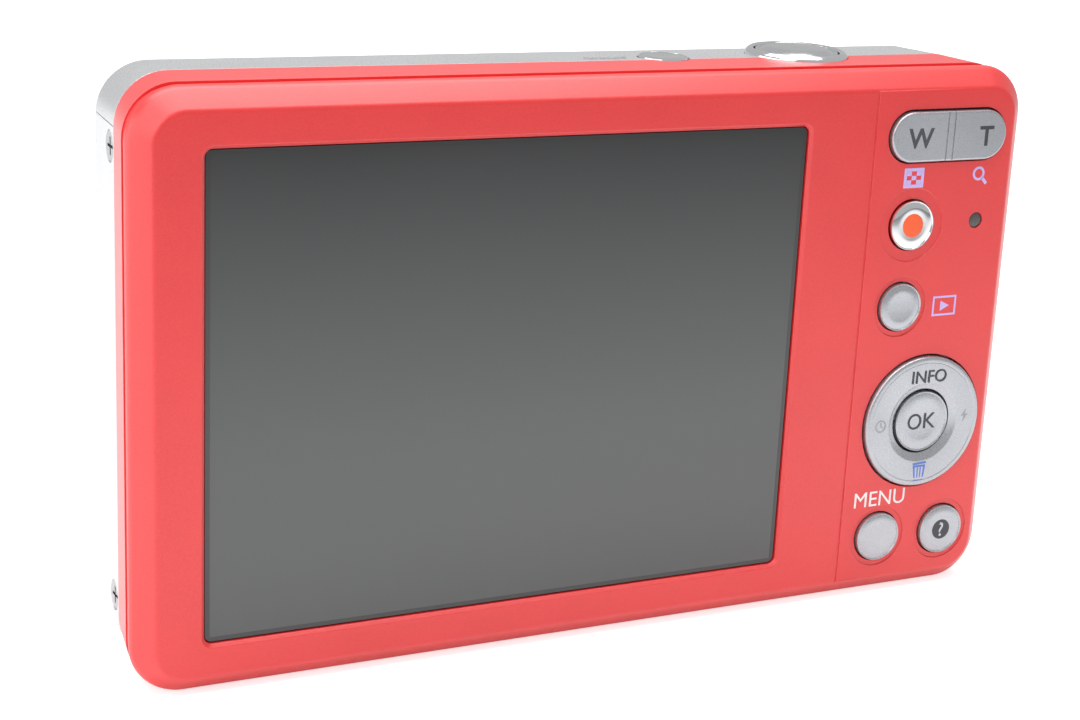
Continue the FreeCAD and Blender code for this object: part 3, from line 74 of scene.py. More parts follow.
# Materials ---------------------------------------------------------------------------------

class Look:
    """A procedural material: one Principled shader fed by nodes in the object's own frame."""

    def __init__(self, name, **settings):
        self.material = bpy.data.materials.new(name)
        self.material.use_nodes = True
        self.shader = self.material.node_tree.nodes["Principled BSDF"]
        self.place = self.add("ShaderNodeTexCoord").outputs["Object"]
        for socket, value in settings.items():
            self.feed(socket.replace("_", " ").title().replace("Ior", "IOR"), value)

    def add(self, kind, inputs=(), **settings):
        node = self.material.node_tree.nodes.new(kind)
        for name, value in settings.items():
            setattr(node, name, value)
        for socket, value in dict(inputs).items():
            self.plug(node.inputs[socket], value)
        return node

    def plug(self, socket, value):
        if isinstance(value, bpy.types.NodeSocket):
            self.material.node_tree.links.new(value, socket)
        elif socket.type == "RGBA" and len(value) == 3:
            socket.default_value = (*value, 1.0)
        else:
            socket.default_value = value

    def feed(self, socket, value):
        self.plug(self.shader.inputs[socket], value)

    def math(self, operation, first, second=0.0):
        return self.add("ShaderNodeMath", {0: first, 1: second}, operation=operation).outputs[0]

    def noise(self, size, detail=2.0, stretch=(1, 1, 1), place=None):
        """Noise from 0 to 1 with blotches about `size` mm across, drawn out by `stretch`."""
        scale = tuple(1 / (size * MM * s) for s in stretch)
        mapped = self.add("ShaderNodeMapping", {"Vector": place or self.place, "Scale": scale})
        noise = self.add("ShaderNodeTexNoise",
                         {"Vector": mapped.outputs[0], "Scale": 1.0, "Detail": detail})
        return self.spread(noise.outputs["Fac"], 0.3, 0.7, 0.0, 1.0)

    def cells(self, size, feature="F1", output="Distance"):
        """Voronoi cells about `size` mm across."""
        return self.add("ShaderNodeTexVoronoi", {"Vector": self.place, "Scale": 1 / (size * MM)},
                        feature=feature).outputs[output]

    def spread(self, value, from_low, from_high, to_low, to_high):
        return self.add("ShaderNodeMapRange", {
            "Value": value, "From Min": from_low, "From Max": from_high,
            "To Min": to_low, "To Max": to_high}).outputs[0]

    def mix(self, share, first, second):
        node = self.add("ShaderNodeMix", data_type="RGBA")
        for index, value in ((0, share), (6, first), (7, second)):
            self.plug(node.inputs[index], value)
        return node.outputs[2]

    def axis(self, name):
        return self.add("ShaderNodeSeparateXYZ", {0: self.place}).outputs[name]

    def axis_pair(self):
        """The picture plane's two axes, X across and Z up, for flat patterns."""
        parts = self.add("ShaderNodeSeparateXYZ", {0: self.place})
        return self.add("ShaderNodeCombineXYZ",
                        {0: parts.outputs["X"], 1: parts.outputs["Z"]}).outputs[0]

    def radius(self, centre, axes="XZ"):
        """Distance from a line through `centre` along the remaining axis."""
        apart = self.add("ShaderNodeVectorMath", {0: self.place, 1: tuple(centre)},
                         operation="SUBTRACT").outputs[0]
        keep = tuple(1.0 if name in axes else 0.0 for name in "XYZ")
        flat = self.add("ShaderNodeVectorMath", {0: apart, 1: keep},
                        operation="MULTIPLY").outputs[0]
        return self.add("ShaderNodeVectorMath", {0: flat}, operation="LENGTH").outputs["Value"]

    def edges(self, reach):
        """Near 1 on sharp edges, found where a normal rounded over `reach` mm leans away."""
        rounded = self.add("ShaderNodeBevel", {"Radius": reach * MM}, samples=2).outputs[0]
        true = self.add("ShaderNodeNewGeometry").outputs["Normal"]
        along = self.add("ShaderNodeVectorMath", {0: rounded, 1: true},
                         operation="DOT_PRODUCT").outputs["Value"]
        return self.spread(along, 0.995, 0.85, 0.0, 1.0)

    def bump(self, height, depth):
        """Raises the surface by `depth` mm where `height` is 1."""
        bump = self.add("ShaderNodeBump", {"Height": height, "Distance": depth * MM})
        self.feed("Normal", bump.outputs[0])


def finish(name, colour, roughness, metallic=0.0, spread=0.07, blotch=7.0, grain=0.2,
           depth=0.002, brushed=(1, 1, 1), worn=None, edge=0.12, **settings):
    """A painted, moulded or machined surface: cloudy colour, fine grain and worn edges."""
    look = Look(name, metallic=metallic, **settings)
    cloud = look.noise(blotch, detail=3)
    fine = look.noise(grain, stretch=brushed)
    darker = tuple(c * (1 - spread) for c in colour)
    lighter = tuple(min(1.0, c * (1 + spread)) for c in colour)
    shade = look.mix(cloud, darker, lighter)
    shade = look.mix(look.math("MULTIPLY", fine, spread), shade, darker)
    rough = look.spread(fine, 0, 1, roughness - 0.05, roughness + 0.05)
    if worn:
        edge_lightening = look.math("MULTIPLY", look.edges(edge), look.noise(1.5, detail=4))
        shade = look.mix(look.math("MULTIPLY", edge_lightening, 0.6), shade, worn)
    look.feed("Base Color", shade)
    look.feed("Roughness", rough)
    look.bump(fine, depth)
    return look.material


def red_paint():
    """Satin metallic red: fine flakes that catch the light under a thin clear coat."""
    look = Look("red_paint", metallic=0.1, coat_weight=0.7, coat_roughness=0.36,
                specular_ior_level=0.8)
    flake = look.cells(0.09, output="Color")
    flake = look.add("ShaderNodeSeparateColor", {0: flake}).outputs[0]
    cloud = look.noise(9.0, detail=3)
    shade = look.mix(cloud, (0.74, 0.012, 0.013), (0.80, 0.016, 0.017))
    shade = look.mix(look.math("MULTIPLY", flake, 0.30), shade, (0.95, 0.055, 0.055))
    # Painted highlight: sharp edges are mixed, in blotches, towards the pale pink of a lit bevel.
    edge_lightening = look.math("MULTIPLY", look.edges(0.15), look.noise(2.0, detail=4))
    shade = look.mix(look.math("MULTIPLY", edge_lightening, 0.35), shade, (0.95, 0.30, 0.29))
    grain = look.noise(0.16, detail=3)
    look.feed("Base Color", shade)
    look.feed("Roughness", look.spread(grain, 0, 1, 0.36, 0.48))
    look.bump(grain, 0.0035)
    return look.material


def screen_glass():
    """Smoked window over the display: a dark sheet with a faint haze, a painted reflection that
    lightens it towards the bottom, and a black border.
    """
    look = Look("screen_glass", roughness=0.07, ior=1.52, coat_weight=0.6, coat_roughness=0.03)
    low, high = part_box("screen_window")
    border = 0.45 * MM
    inside = None
    for name, first, last in (("X", low.x, high.x), ("Z", low.z, high.z)):
        along = look.axis(name)
        for edge, sign in ((first, 1.0), (last, -1.0)):
            gap = look.math("MULTIPLY", look.math("SUBTRACT", along, edge), sign)
            near = look.spread(gap, border, border * 1.15, 0.0, 1.0)
            inside = near if inside is None else look.math("MINIMUM", inside, near)
    haze = look.noise(25.0, detail=1)
    # Painted reflection of the floor: the display colour lightens from the top edge down to a third
    # of the way up, and stays light below.
    brightness_ramp = look.spread(look.axis("Z"), high.z, low.z + (high.z - low.z) * 0.35, 0.0, 1.0)
    display = look.mix(brightness_ramp, (0.028, 0.030, 0.030), (0.076, 0.082, 0.081))
    display = look.mix(look.math("MULTIPLY", haze, 0.12), display, (0.06, 0.065, 0.065))
    look.feed("Base Color", look.mix(inside, (0.030, 0.031, 0.031), display))
    look.bump(look.noise(12.0, detail=1), 0.004)
    return look.material


def display_panel():
    """Dark display with its grid of picture cells."""
    look = Look("display_panel", roughness=0.25, specular_ior_level=0.6)
    pitch = 0.19
    lines = look.add("ShaderNodeTexBrick", {
        "Vector": look.axis_pair(), "Scale": 1 / (pitch * MM), "Mortar Size": 0.08,
        "Color1": (0.030, 0.034, 0.040, 1), "Color2": (0.034, 0.038, 0.046, 1),
        "Mortar": (0.010, 0.010, 0.012, 1)}, offset=0.0)
    look.feed("Base Color", lines.outputs["Color"])
    look.bump(look.noise(3.0), 0.001)
    return look.material


def circuit_board():
    """Green solder mask over copper tracks, with tinned pads."""
    look = Look("circuit_board", roughness=0.4)
    track = look.add("ShaderNodeTexWave", {
        "Vector": look.place, "Scale": 1 / (2.4 * MM), "Distortion": 6.0, "Detail": 1.0,
        "Detail Scale": 0.4}, bands_direction="DIAGONAL").outputs["Fac"]
    track = look.spread(track, 0.62, 0.68, 0.0, 1.0)
    mask = look.mix(look.noise(5.0), (0.010, 0.075, 0.035), (0.014, 0.095, 0.045))
    mask = look.mix(look.math("MULTIPLY", track, 0.7), mask, (0.030, 0.19, 0.08))
    pad = look.spread(look.cells(1.6), 0.16, 0.19, 1.0, 0.0)
    look.feed("Base Color", look.mix(pad, mask, (0.72, 0.66, 0.45)))
    look.feed("Metallic", pad)
    look.bump(look.math("ADD", track, pad), 0.02)
    return look.material


def spun_metal(name, colour, centre, roughness=0.28, axes="XZ"):
    """Turned metal with fine rings round an axis, on its flat ends and along its sides."""
    look = Look(name, metallic=1.0)
    spin = next(axis for axis in "XYZ" if axis not in axes)
    normal = look.add("ShaderNodeSeparateXYZ",
                      {0: look.add("ShaderNodeNewGeometry").outputs["Normal"]}).outputs[spin]
    ended = look.math("ABSOLUTE", normal)
    sided = look.math("SUBTRACT", 1.0, ended)
    away = look.math("MULTIPLY", look.radius(centre, axes), ended)
    away = look.math("ADD", away, look.math("MULTIPLY", look.axis(spin), sided))
    rings = look.add("ShaderNodeTexNoise", {"W": look.math("MULTIPLY", away, 1 / (0.07 * MM)),
                                            "Scale": 1.0, "Detail": 3.0},
                     noise_dimensions="1D").outputs["Fac"]
    darker = tuple(c * 0.82 for c in colour)
    shade = look.mix(look.spread(rings, 0.35, 0.65, 0, 1), darker, colour)
    edge_lightening = look.math("MULTIPLY", look.edges(0.12), look.noise(2.0, detail=3))
    look.feed("Base Color", look.mix(look.math("MULTIPLY", edge_lightening, 0.5), shade, (0.95, 0.95, 0.95)))
    look.feed("Roughness", look.spread(rings, 0.3, 0.7, roughness - 0.08, roughness + 0.08))
    look.bump(rings, 0.0025)
    return look.material


def clear_glass(name, tint, roughness=0.03, film=0.0, ior=1.52):
    """Clear moulding or lens, lightly tinted, with an optional coating film in nanometres."""
    look = Look(name, roughness=roughness, ior=ior, transmission_weight=1.0)
    look.feed("Base Color", look.mix(look.noise(4.0), tint, tuple(c * 0.93 for c in tint)))
    look.feed("Thin Film Thickness", film)
    look.feed("Thin Film IOR", 1.38)
    look.bump(look.noise(2.0), 0.001)
    return look.material


def battery_wrap():
    """Grey printed film with a dark band and thin rules along the cell."""
    look = Look("battery_wrap", roughness=0.45)
    low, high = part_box("battery")
    height = look.spread(look.axis("Z"), low.z, high.z, 0.0, 1.0)
    band = look.math("MULTIPLY", look.math("GREATER_THAN", height, 0.62),
                     look.math("LESS_THAN", height, 0.86))
    rules = look.math("GREATER_THAN", look.math("FRACT", look.math("MULTIPLY", height, 24)), 0.86)
    shade = look.mix(look.noise(6.0), (0.14, 0.15, 0.165), (0.17, 0.18, 0.195))
    shade = look.mix(look.math("MULTIPLY", rules, 0.35), shade, (0.55, 0.56, 0.58))
    look.feed("Base Color", look.mix(band, shade, (0.035, 0.10, 0.22)))
    look.bump(look.noise(0.3), 0.002)
    return look.material


def make_looks():
    """Every material by the name of its record slot, and a few more by their own names."""
    lens = centre_of("lens_trim_ring")
    shutter = centre_of("shutter_button")
    red = red_paint()
    silver = (0.80, 0.81, 0.825)
    return {
        "red_shell": red,
        "red_panel": red,
        "silver_band": finish("silver_band", (0.70, 0.71, 0.72), 0.30, metallic=0.75, grain=0.10,
                              spread=0.03, worn=(0.97, 0.97, 0.97)),
        "screen_glass": screen_glass(),
        "display": display_panel(),
        "white_plastic": finish("white_plastic", (0.80, 0.81, 0.80), 0.5, worn=(0.9, 0.9, 0.9)),
        "steel_sheet": finish("steel_sheet", (0.56, 0.57, 0.58), 0.3, metallic=1.0, grain=0.08,
                              brushed=(1, 1, 14), worn=(0.85, 0.85, 0.85)),
        "circuit_board": circuit_board(),
        "silver_button": finish("silver_button", (0.50, 0.515, 0.545), 0.30, metallic=0.8,
                                grain=0.12, spread=0.05, depth=0.003, worn=(0.92, 0.93, 0.95)),
        "bright_metal": finish("bright_metal", silver, 0.10, metallic=1.0, grain=0.5,
                               depth=0.0006, spread=0.03, worn=(0.98, 0.98, 0.98)),
        "screw_steel": finish("screw_steel", (0.42, 0.43, 0.44), 0.24, metallic=1.0, grain=0.15,
                              worn=(0.9, 0.9, 0.9)),
        "turned_metal": spun_metal("turned_metal", silver, shutter, 0.16, "XY"),
        "lamp_clear": clear_glass("lamp_clear", (0.93, 0.95, 0.93), roughness=0.12),
        "lamp_smoked": finish("lamp_smoked", (0.085, 0.075, 0.075), 0.25, grain=0.4, spread=0.1,
                              coat_weight=0.4),
        "lens_glass": clear_glass("lens_glass", (0.90, 0.93, 0.98), film=310.0),
        "lens_metal": spun_metal("lens_metal", (0.70, 0.71, 0.73), lens),
        "black_plastic": finish("black_plastic", (0.020, 0.020, 0.022), 0.42, grain=0.15,
                                spread=0.18, depth=0.006, worn=(0.12, 0.12, 0.125)),
        "blade_black": finish("blade_black", (0.030, 0.030, 0.033), 0.3, metallic=0.5, grain=0.1,
                              brushed=(14, 1, 1), spread=0.2, worn=(0.25, 0.25, 0.26)),
        "gear_plastic": finish("gear_plastic", (0.78, 0.76, 0.68), 0.4, worn=(0.9, 0.88, 0.8),
                               subsurface_weight=0.1),
        "gear_brass": spun_metal("gear_brass", (0.78, 0.58, 0.26), centre_of("tripod_bush"),
                                 0.25, "XY"),
        "motor_can": finish("motor_can", (0.62, 0.63, 0.64), 0.28, metallic=1.0, grain=0.08,
                            brushed=(1, 12, 1), worn=(0.9, 0.9, 0.9)),
        "strap_metal": finish("strap_metal", (0.70, 0.71, 0.72), 0.22, metallic=1.0, grain=0.1,
                              brushed=(10, 1, 1), worn=(0.95, 0.95, 0.95)),
        "battery_case": battery_wrap(),
        "orange_lever": finish("orange_lever", (0.82, 0.20, 0.02), 0.4, worn=(0.95, 0.45, 0.2)),
        "ink_dark": finish("ink_dark", (0.060, 0.062, 0.070), 0.5, spread=0.2, depth=0.001),
        "ink_faint": finish("ink_faint", (0.36, 0.37, 0.39), 0.45, spread=0.1, depth=0.001),
        "ink_white": finish("ink_white", (0.90, 0.86, 0.86), 0.5, spread=0.04, depth=0.001),
        "ink_lilac": finish("ink_lilac", (0.62, 0.50, 0.90), 0.5, spread=0.05, depth=0.001),
        "ink_blue": finish("ink_blue", (0.12, 0.22, 0.72), 0.5, spread=0.1, depth=0.001),
        "ink_orange": finish("ink_orange", (0.98, 0.13, 0.035), 0.4, spread=0.04, depth=0.001),
    }


def centre_of(node):
    low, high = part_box(node)
    return (low + high) / 2


LOOKS = make_looks()


# Mesh helpers ------------------------------------------------------------------------------

SIDES = {
    "rear": (Vector((1, 0, 0)), Vector((0, 0, 1)), Vector((0, -1, 0))),
    "front": (Vector((-1, 0, 0)), Vector((0, 0, 1)), Vector((0, 1, 0))),
    "top": (Vector((1, 0, 0)), Vector((0, 1, 0)), Vector((0, 0, 1))),
    "base": (Vector((1, 0, 0)), Vector((0, -1, 0)), Vector((0, 0, -1))),
}
LEGEND_THICK = 0.025
PAD_FACE_SUNK = 0.05


def facing(side, at):
    """Turns a drawing in mm (across, up, out) into the frame, on one side of the camera."""
    turn = Matrix(SIDES[side]).transposed().to_4x4()
    return Matrix.Translation(at) @ turn @ Matrix.Scale(MM, 4)


def on_rear(node, across=0.0, up=0.0, shell=False):
    """A place on the rear face of a node, or of the shell beside it, from the node's centre."""
    middle = centre_of(node)
    face_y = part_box("rear_cover" if shell else node)[0].y
    return facing("rear", (middle.x + across * MM, face_y, middle.z + up * MM))


def piece(name, bm, look, body, sharp=35.0):
    """Turns a bmesh into a named object that rides on a body and wears a look."""
    bmesh.ops.remove_doubles(bm, verts=bm.verts, dist=1e-7)
    bmesh.ops.recalc_face_normals(bm, faces=bm.faces)
    mesh = bpy.data.meshes.new(name)
    bm.to_mesh(mesh)
    bm.free()
    mesh.polygons.foreach_set("use_smooth", [True] * len(mesh.polygons))
    mesh.set_sharp_from_angle(angle=math.radians(sharp))
    mesh.materials.append(LOOKS[look])
    obj = bpy.data.objects.new(name, mesh)
    bpy.context.scene.collection.objects.link(obj)
    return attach(obj, body)


def bridge(bm, first, second):
    """Faces between two loops of points, either of which may be a single point."""
    count = max(len(first), len(second))
    for i in range(count):
        j = (i + 1) % count
        corners = [first[i % len(first)], first[j % len(first)],
                   second[j % len(second)], second[i % len(second)]]
        bm.faces.new(list(dict.fromkeys(corners)))


def lathe(bm, outline, place, closed=False, steps=96):
    """Spins (radius, out) points in mm round the out axis of `place`."""
    loops = []
    for radius, out in outline:
        turns = [2 * math.pi * i / steps for i in range(steps)] if radius > 0 else [0.0]
        loops.append([bm.verts.new(place @ Vector((radius * math.cos(a),
                                                   radius * math.sin(a), out)))
                      for a in turns])
    for first, second in zip(loops, loops[1:]):
        bridge(bm, first, second)
    if closed:
        bridge(bm, loops[-1], loops[0])


def soften(corners, steps=5):
    """Points of an outline given as (radius, out, rounding), each corner eased by its rounding."""
    points = []
    count = len(corners)
    for i, (radius, out, rounding) in enumerate(corners):
        here = Vector((radius, out))
        if rounding <= 0:
            points.append((radius, out))
            continue
        before = Vector(corners[i - 1][:2])
        after = Vector(corners[(i + 1) % count][:2])
        start = here + (before - here).normalized() * rounding
        end = here + (after - here).normalized() * rounding
        for k in range(steps + 1):
            t = k / steps
            point = start * (1 - t) ** 2 + here * 2 * t * (1 - t) + end * t ** 2
            points.append((point.x, point.y))
    return points


def dish(radius, depth, out, steps=6):
    """Points of a shallow bowl from its rim inwards; a negative depth makes a dome."""
    return [(radius * (1 - k / steps), out - depth * (1 - (1 - k / steps) ** 2))
            for k in range(1, steps + 1)]


def slab(bm, points, place, thick=LEGEND_THICK):
    """A flat closed shape in mm raised `thick` above the surface."""
    low, high = ([bm.verts.new(place @ Vector((x, y, out))) for x, y in points]
                 for out in (0.0, thick))
    bm.faces.new(low)
    bm.faces.new(high)
    bridge(bm, low, high)


def ribbon(bm, points, width, place, thick=LEGEND_THICK, closed=False):
    """A line of constant width through points in mm, raised like a slab."""
    count = len(points)
    flat = [Vector(point) for point in points]
    rails = []
    for i, point in enumerate(flat):
        before = flat[i - 1] if closed or i > 0 else point * 2 - flat[i + 1]
        after = flat[(i + 1) % count] if closed or i < count - 1 else point * 2 - flat[i - 1]
        ahead, behind = (after - point).normalized(), (point - before).normalized()
        side = (ahead + behind).normalized().orthogonal()
        reach = width / 2 / max(0.3, side.dot(ahead.orthogonal()))
        rails.append((point + side * reach, point - side * reach))
    rings = [[bm.verts.new(place @ Vector((*corner, out))) for corner, out in
              ((left, 0.0), (left, thick), (right, thick), (right, 0.0))] for left, right in rails]
    for first, second in zip(rings, rings[1:]):
        bridge(bm, first, second)
    if closed:
        bridge(bm, rings[-1], rings[0])
    else:
        bm.faces.new(rings[0])
        bm.faces.new(rings[-1])


def circle(radius, across=0.0, up=0.0, steps=40):
    return [(across + radius * math.cos(2 * math.pi * i / steps),
             up + radius * math.sin(2 * math.pi * i / steps)) for i in range(steps)]


def frame_points(wide, high, across=0.0, up=0.0):
    a, b = wide / 2, high / 2
    return [(across - a, up - b), (across + a, up - b), (across + a, up + b), (across - a, up + b)]


def lettering(name, words, high, place, look, body, weight=0.0, bowl=(1.0, 0.0)):
    """Raised letters of the plain built-in face, `high` mm tall and centred on `place`.

    On a dished key they follow its bowl, given as (radius, depth) in mm.
    """
    curve = bpy.data.curves.new(name, "FONT")
    curve.body = words
    curve.offset = weight
    curve.resolution_u = 6
    curve.extrude = 0.5
    text = bpy.data.objects.new(name, curve)
    bpy.context.scene.collection.objects.link(text)
    bpy.context.view_layer.update()
    bm = bmesh.new()
    bm.from_mesh(text.evaluated_get(bpy.context.evaluated_depsgraph_get()).to_mesh())
    bpy.data.objects.remove(text)
    low = Vector([min(v.co[k] for v in bm.verts) for k in range(3)])
    top = Vector([max(v.co[k] for v in bm.verts) for k in range(3)])
    scale = high / (top.y - low.y)
    middle = (low + top) / 2
    for v in bm.verts:
        flat = (v.co - middle) * scale
        sunk = bowl[1] * (1 - (Vector((flat.x, flat.y)).length / bowl[0]) ** 2)
        v.co = place @ Vector((flat.x, flat.y, (LEGEND_THICK if v.co.z > 0 else 0.0) - sunk))
    return piece(name, bm, look, body)


# CAD nodes ---------------------------------------------------------------------------------

EDGE_WIDTHS = {"rear_cover": 0.06, "front_cover": 0.08, "top_cover": 0.06, "bottom_cover": 0.06,
               "left_side_plate": 0.06, "right_side_plate": 0.06, "battery_door": 0.08,
               "port_cover": 0.06, "screen_window": 0.05}
NODE_LOOKS = {"left_blade": "blade_black", "right_blade": "blade_black",
              "case_screws": "screw_steel"}


def dress_node(name):
    """Gives a CAD node its look and, where it is seen, small rounded edges."""
    node = NODES[name]
    node.data.materials.clear()
    node.data.materials.append(LOOKS[NODE_LOOKS.get(name, SLOT_OF[name])])
    if name not in EDGE_WIDTHS:
        return
    for layer in ("custom_normal", "sharp_edge", "sharp_face"):
        if layer in node.data.attributes:
            node.data.attributes.remove(node.data.attributes[layer])
    node.data.polygons.foreach_set("use_smooth", [True] * len(node.data.polygons))
    weld = node.modifiers.new("weld", "WELD")
    weld.merge_threshold = 1e-6
    bevel = node.modifiers.new("bevel", "BEVEL")
    bevel.width = EDGE_WIDTHS[name] * MM
    bevel.segments = 2
    bevel.limit_method = "ANGLE"
    bevel.angle_limit = math.radians(30)
    bevel.use_clamp_overlap = False
    bevel.loop_slide = False
    bevel.harden_normals = True


for node_name in NODES:
    dress_node(node_name)


# Keys and controls -------------------------------------------------------------------------

CAP_INSET = 0.70
STEM = (1.0, 0.9)
FLANGE_THICK = 0.5
DOT_RADIUS = 1.30
DOT_DEEP = 0.6
DOT_SUNK = 0.02
DOT_ROUND = 0.06
PAD_HOLE = 3.6
PAD_CAP = 7.3
PAD_STUD_REACH = 5.6
PAD_STUD_RADIUS = 0.9
OK_CAP = 3.35
OK_BOWL = (3.0, 0.28)
OK_SUNK = 0.10


def round_key(node, name, look="silver_button", bowl=0.16, rim=0.28):
    """A round push key with a dished cap, its retaining flange and its stem."""
    low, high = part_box(node)
    flange = (high.x - low.x) / 2 / MM
    cap, deep = flange - CAP_INSET, (high.y - low.y) / MM
    stem_radius, stem_long = STEM
    outline = soften([(0, -deep, 0), (stem_radius, -deep, 0.15), (stem_radius, stem_long - deep, 0),
                      (flange, stem_long - deep, 0), (flange, stem_long + FLANGE_THICK - deep, 0.1),
                      (cap, stem_long + FLANGE_THICK - deep, 0), (cap, 0, rim)])
    outline += dish(cap - rim, bowl, 0)
    bm = bmesh.new()
    lathe(bm, outline, on_rear(node))
    key = piece(name, bm, look, BODY_OF[node])
    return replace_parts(key, node)


def small_keys():
    round_key("record_button", "record_key", look="bright_metal", bowl=0.10)
    round_key("playback_button", "playback_key")
    round_key("menu_button", "menu_key")
    round_key("guide_button", "guide_key", bowl=0.12)
    bm = bmesh.new()
    side = soften([(DOT_RADIUS, -DOT_DEEP, 0), (DOT_RADIUS, -DOT_SUNK, DOT_ROUND)])
    crown = dish(DOT_RADIUS - DOT_ROUND, -DOT_SUNK, -DOT_SUNK)
    lathe(bm, [(0, -DOT_DEEP)] + side + crown, on_rear("record_button"))
    piece("record_dot", bm, "ink_orange", "record_button")


def arrow_pad():
    """The ring pad: rolled rim, fine groove, flat face and a bevel round the centre key."""
    low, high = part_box("arrow_pad")
    flange, hole, cap = (high.x - low.x) / 2 / MM, PAD_HOLE, PAD_CAP
    deep = (high.y - low.y) / MM
    back, shelf = 0.45 - deep, 0.95 - deep
    outline = soften([
        (hole, back, 0), (flange, back, 0), (flange, shelf, 0.1), (cap, shelf, 0),
        (cap, -0.02, 0.34), (6.72, 0.0, 0.05), (6.66, -0.05, 0.03), (6.58, -0.02, 0.03),
        (4.45, -0.07, 0.10), (4.05, -0.30, 0.12), (hole, -0.45, 0.08)])
    bm = bmesh.new()
    lathe(bm, outline, on_rear("arrow_pad"), closed=True, steps=160)
    pad = piece("arrow_pad_ring", bm, "silver_button", "arrow_pad")
    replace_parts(pad, "arrow_pad")
    for i in range(4):
        turn = math.pi / 2 * i
        bm = bmesh.new()
        lathe(bm, soften([(0, -deep, 0), (PAD_STUD_RADIUS, -deep, 0.2),
                          (PAD_STUD_RADIUS, back, 0), (0, back, 0)]),
              on_rear("arrow_pad", PAD_STUD_REACH * math.cos(turn),
                      PAD_STUD_REACH * math.sin(turn)), steps=32)
        piece("pad_stud_%d" % i, bm, "silver_button", "arrow_pad")


def centre_key():
    low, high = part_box("ok_button")
    flange, cap, deep = (high.x - low.x) / 2 / MM, OK_CAP, (high.y - low.y) / MM
    outline = soften([(0, -deep, 0), (flange, -deep, 0), (flange, 0.3 - deep, 0.05),
                      (cap, 0.3 - deep, 0), (cap, -OK_SUNK, 0.30)])
    outline += dish(*OK_BOWL, -OK_SUNK)
    bm = bmesh.new()
    lathe(bm, outline, on_rear("ok_button"))
    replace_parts(piece("centre_key", bm, "silver_button", "ok_button"),
                "ok_button")


def status_lamp():
    low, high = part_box("indicator_lamp")
    radius, deep = (high.x - low.x) / 2 / MM, (high.y - low.y) / MM
    outline = soften([(0, -deep, 0), (radius, -deep, 0), (radius, -0.12, 0.05)])
    outline += dish(radius - 0.05, -0.05, -0.12)
    bm = bmesh.new()
    lathe(bm, outline, on_rear("indicator_lamp"), steps=48)
    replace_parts(piece("status_lamp", bm, "lamp_smoked", "root"),
                "indicator_lamp")


def top_place(node):
    middle, top = centre_of(node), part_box(node)[1].z
    return facing("top", (middle.x, middle.y, top))


def top_keys():
    """Shutter release with its plated collar, and the power key."""
    for node, name, cap, stem, rim, bowl, look in (
            ("shutter_button", "shutter_key", 4.38, 0.7, 0.55, -0.16, "turned_metal"),
            ("power_button", "power_key", 2.55, 1.5, 0.3, 0.14, "bright_metal")):
        low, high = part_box(node)
        deep, flange = (high.z - low.z) / MM, (high.x - low.x) / 2 / MM
        face = min(0.0, bowl)
        outline = soften([(0, -deep, 0), (1.0, -deep, 0.15), (1.0, stem - deep, 0),
                          (flange, stem - deep, 0), (flange, stem + 0.5 - deep, 0.1),
                          (cap, stem + 0.5 - deep, 0), (cap, face, rim)])
        outline += dish(cap - rim, bowl, face)
        bm = bmesh.new()
        lathe(bm, outline, top_place(node), steps=128)
        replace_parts(piece(name, bm, look, BODY_OF[node]), node)
    low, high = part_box("shutter_ring")
    outer, deep = (high.x - low.x) / 2 / MM, (high.z - low.z) / MM
    outline = soften([(4.5, -deep, 0), (outer - 0.25, -deep, 0), (outer - 0.25, -1.25, 0.1),
                      (outer, -1.05, 0.12), (outer, -0.42, 0.25), (4.9, 0.0, 0.22),
                      (4.5, -0.18, 0.10)])
    bm = bmesh.new()
    lathe(bm, outline, top_place("shutter_ring"), closed=True, steps=160)
    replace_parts(piece("shutter_collar", bm, "bright_metal", "root"),
                "shutter_ring")


# Printed legends ---------------------------------------------------------------------------

def legend(name, look, body, strokes, place):
    """One printed mark made of slabs (points,) and ribbons (points, width, closed)."""
    bm = bmesh.new()
    for stroke in strokes:
        if len(stroke) == 1:
            slab(bm, stroke[0], place)
        else:
            points, width, closed = stroke
            ribbon(bm, points, width, place, closed=closed)
    piece(name, bm, look, body)


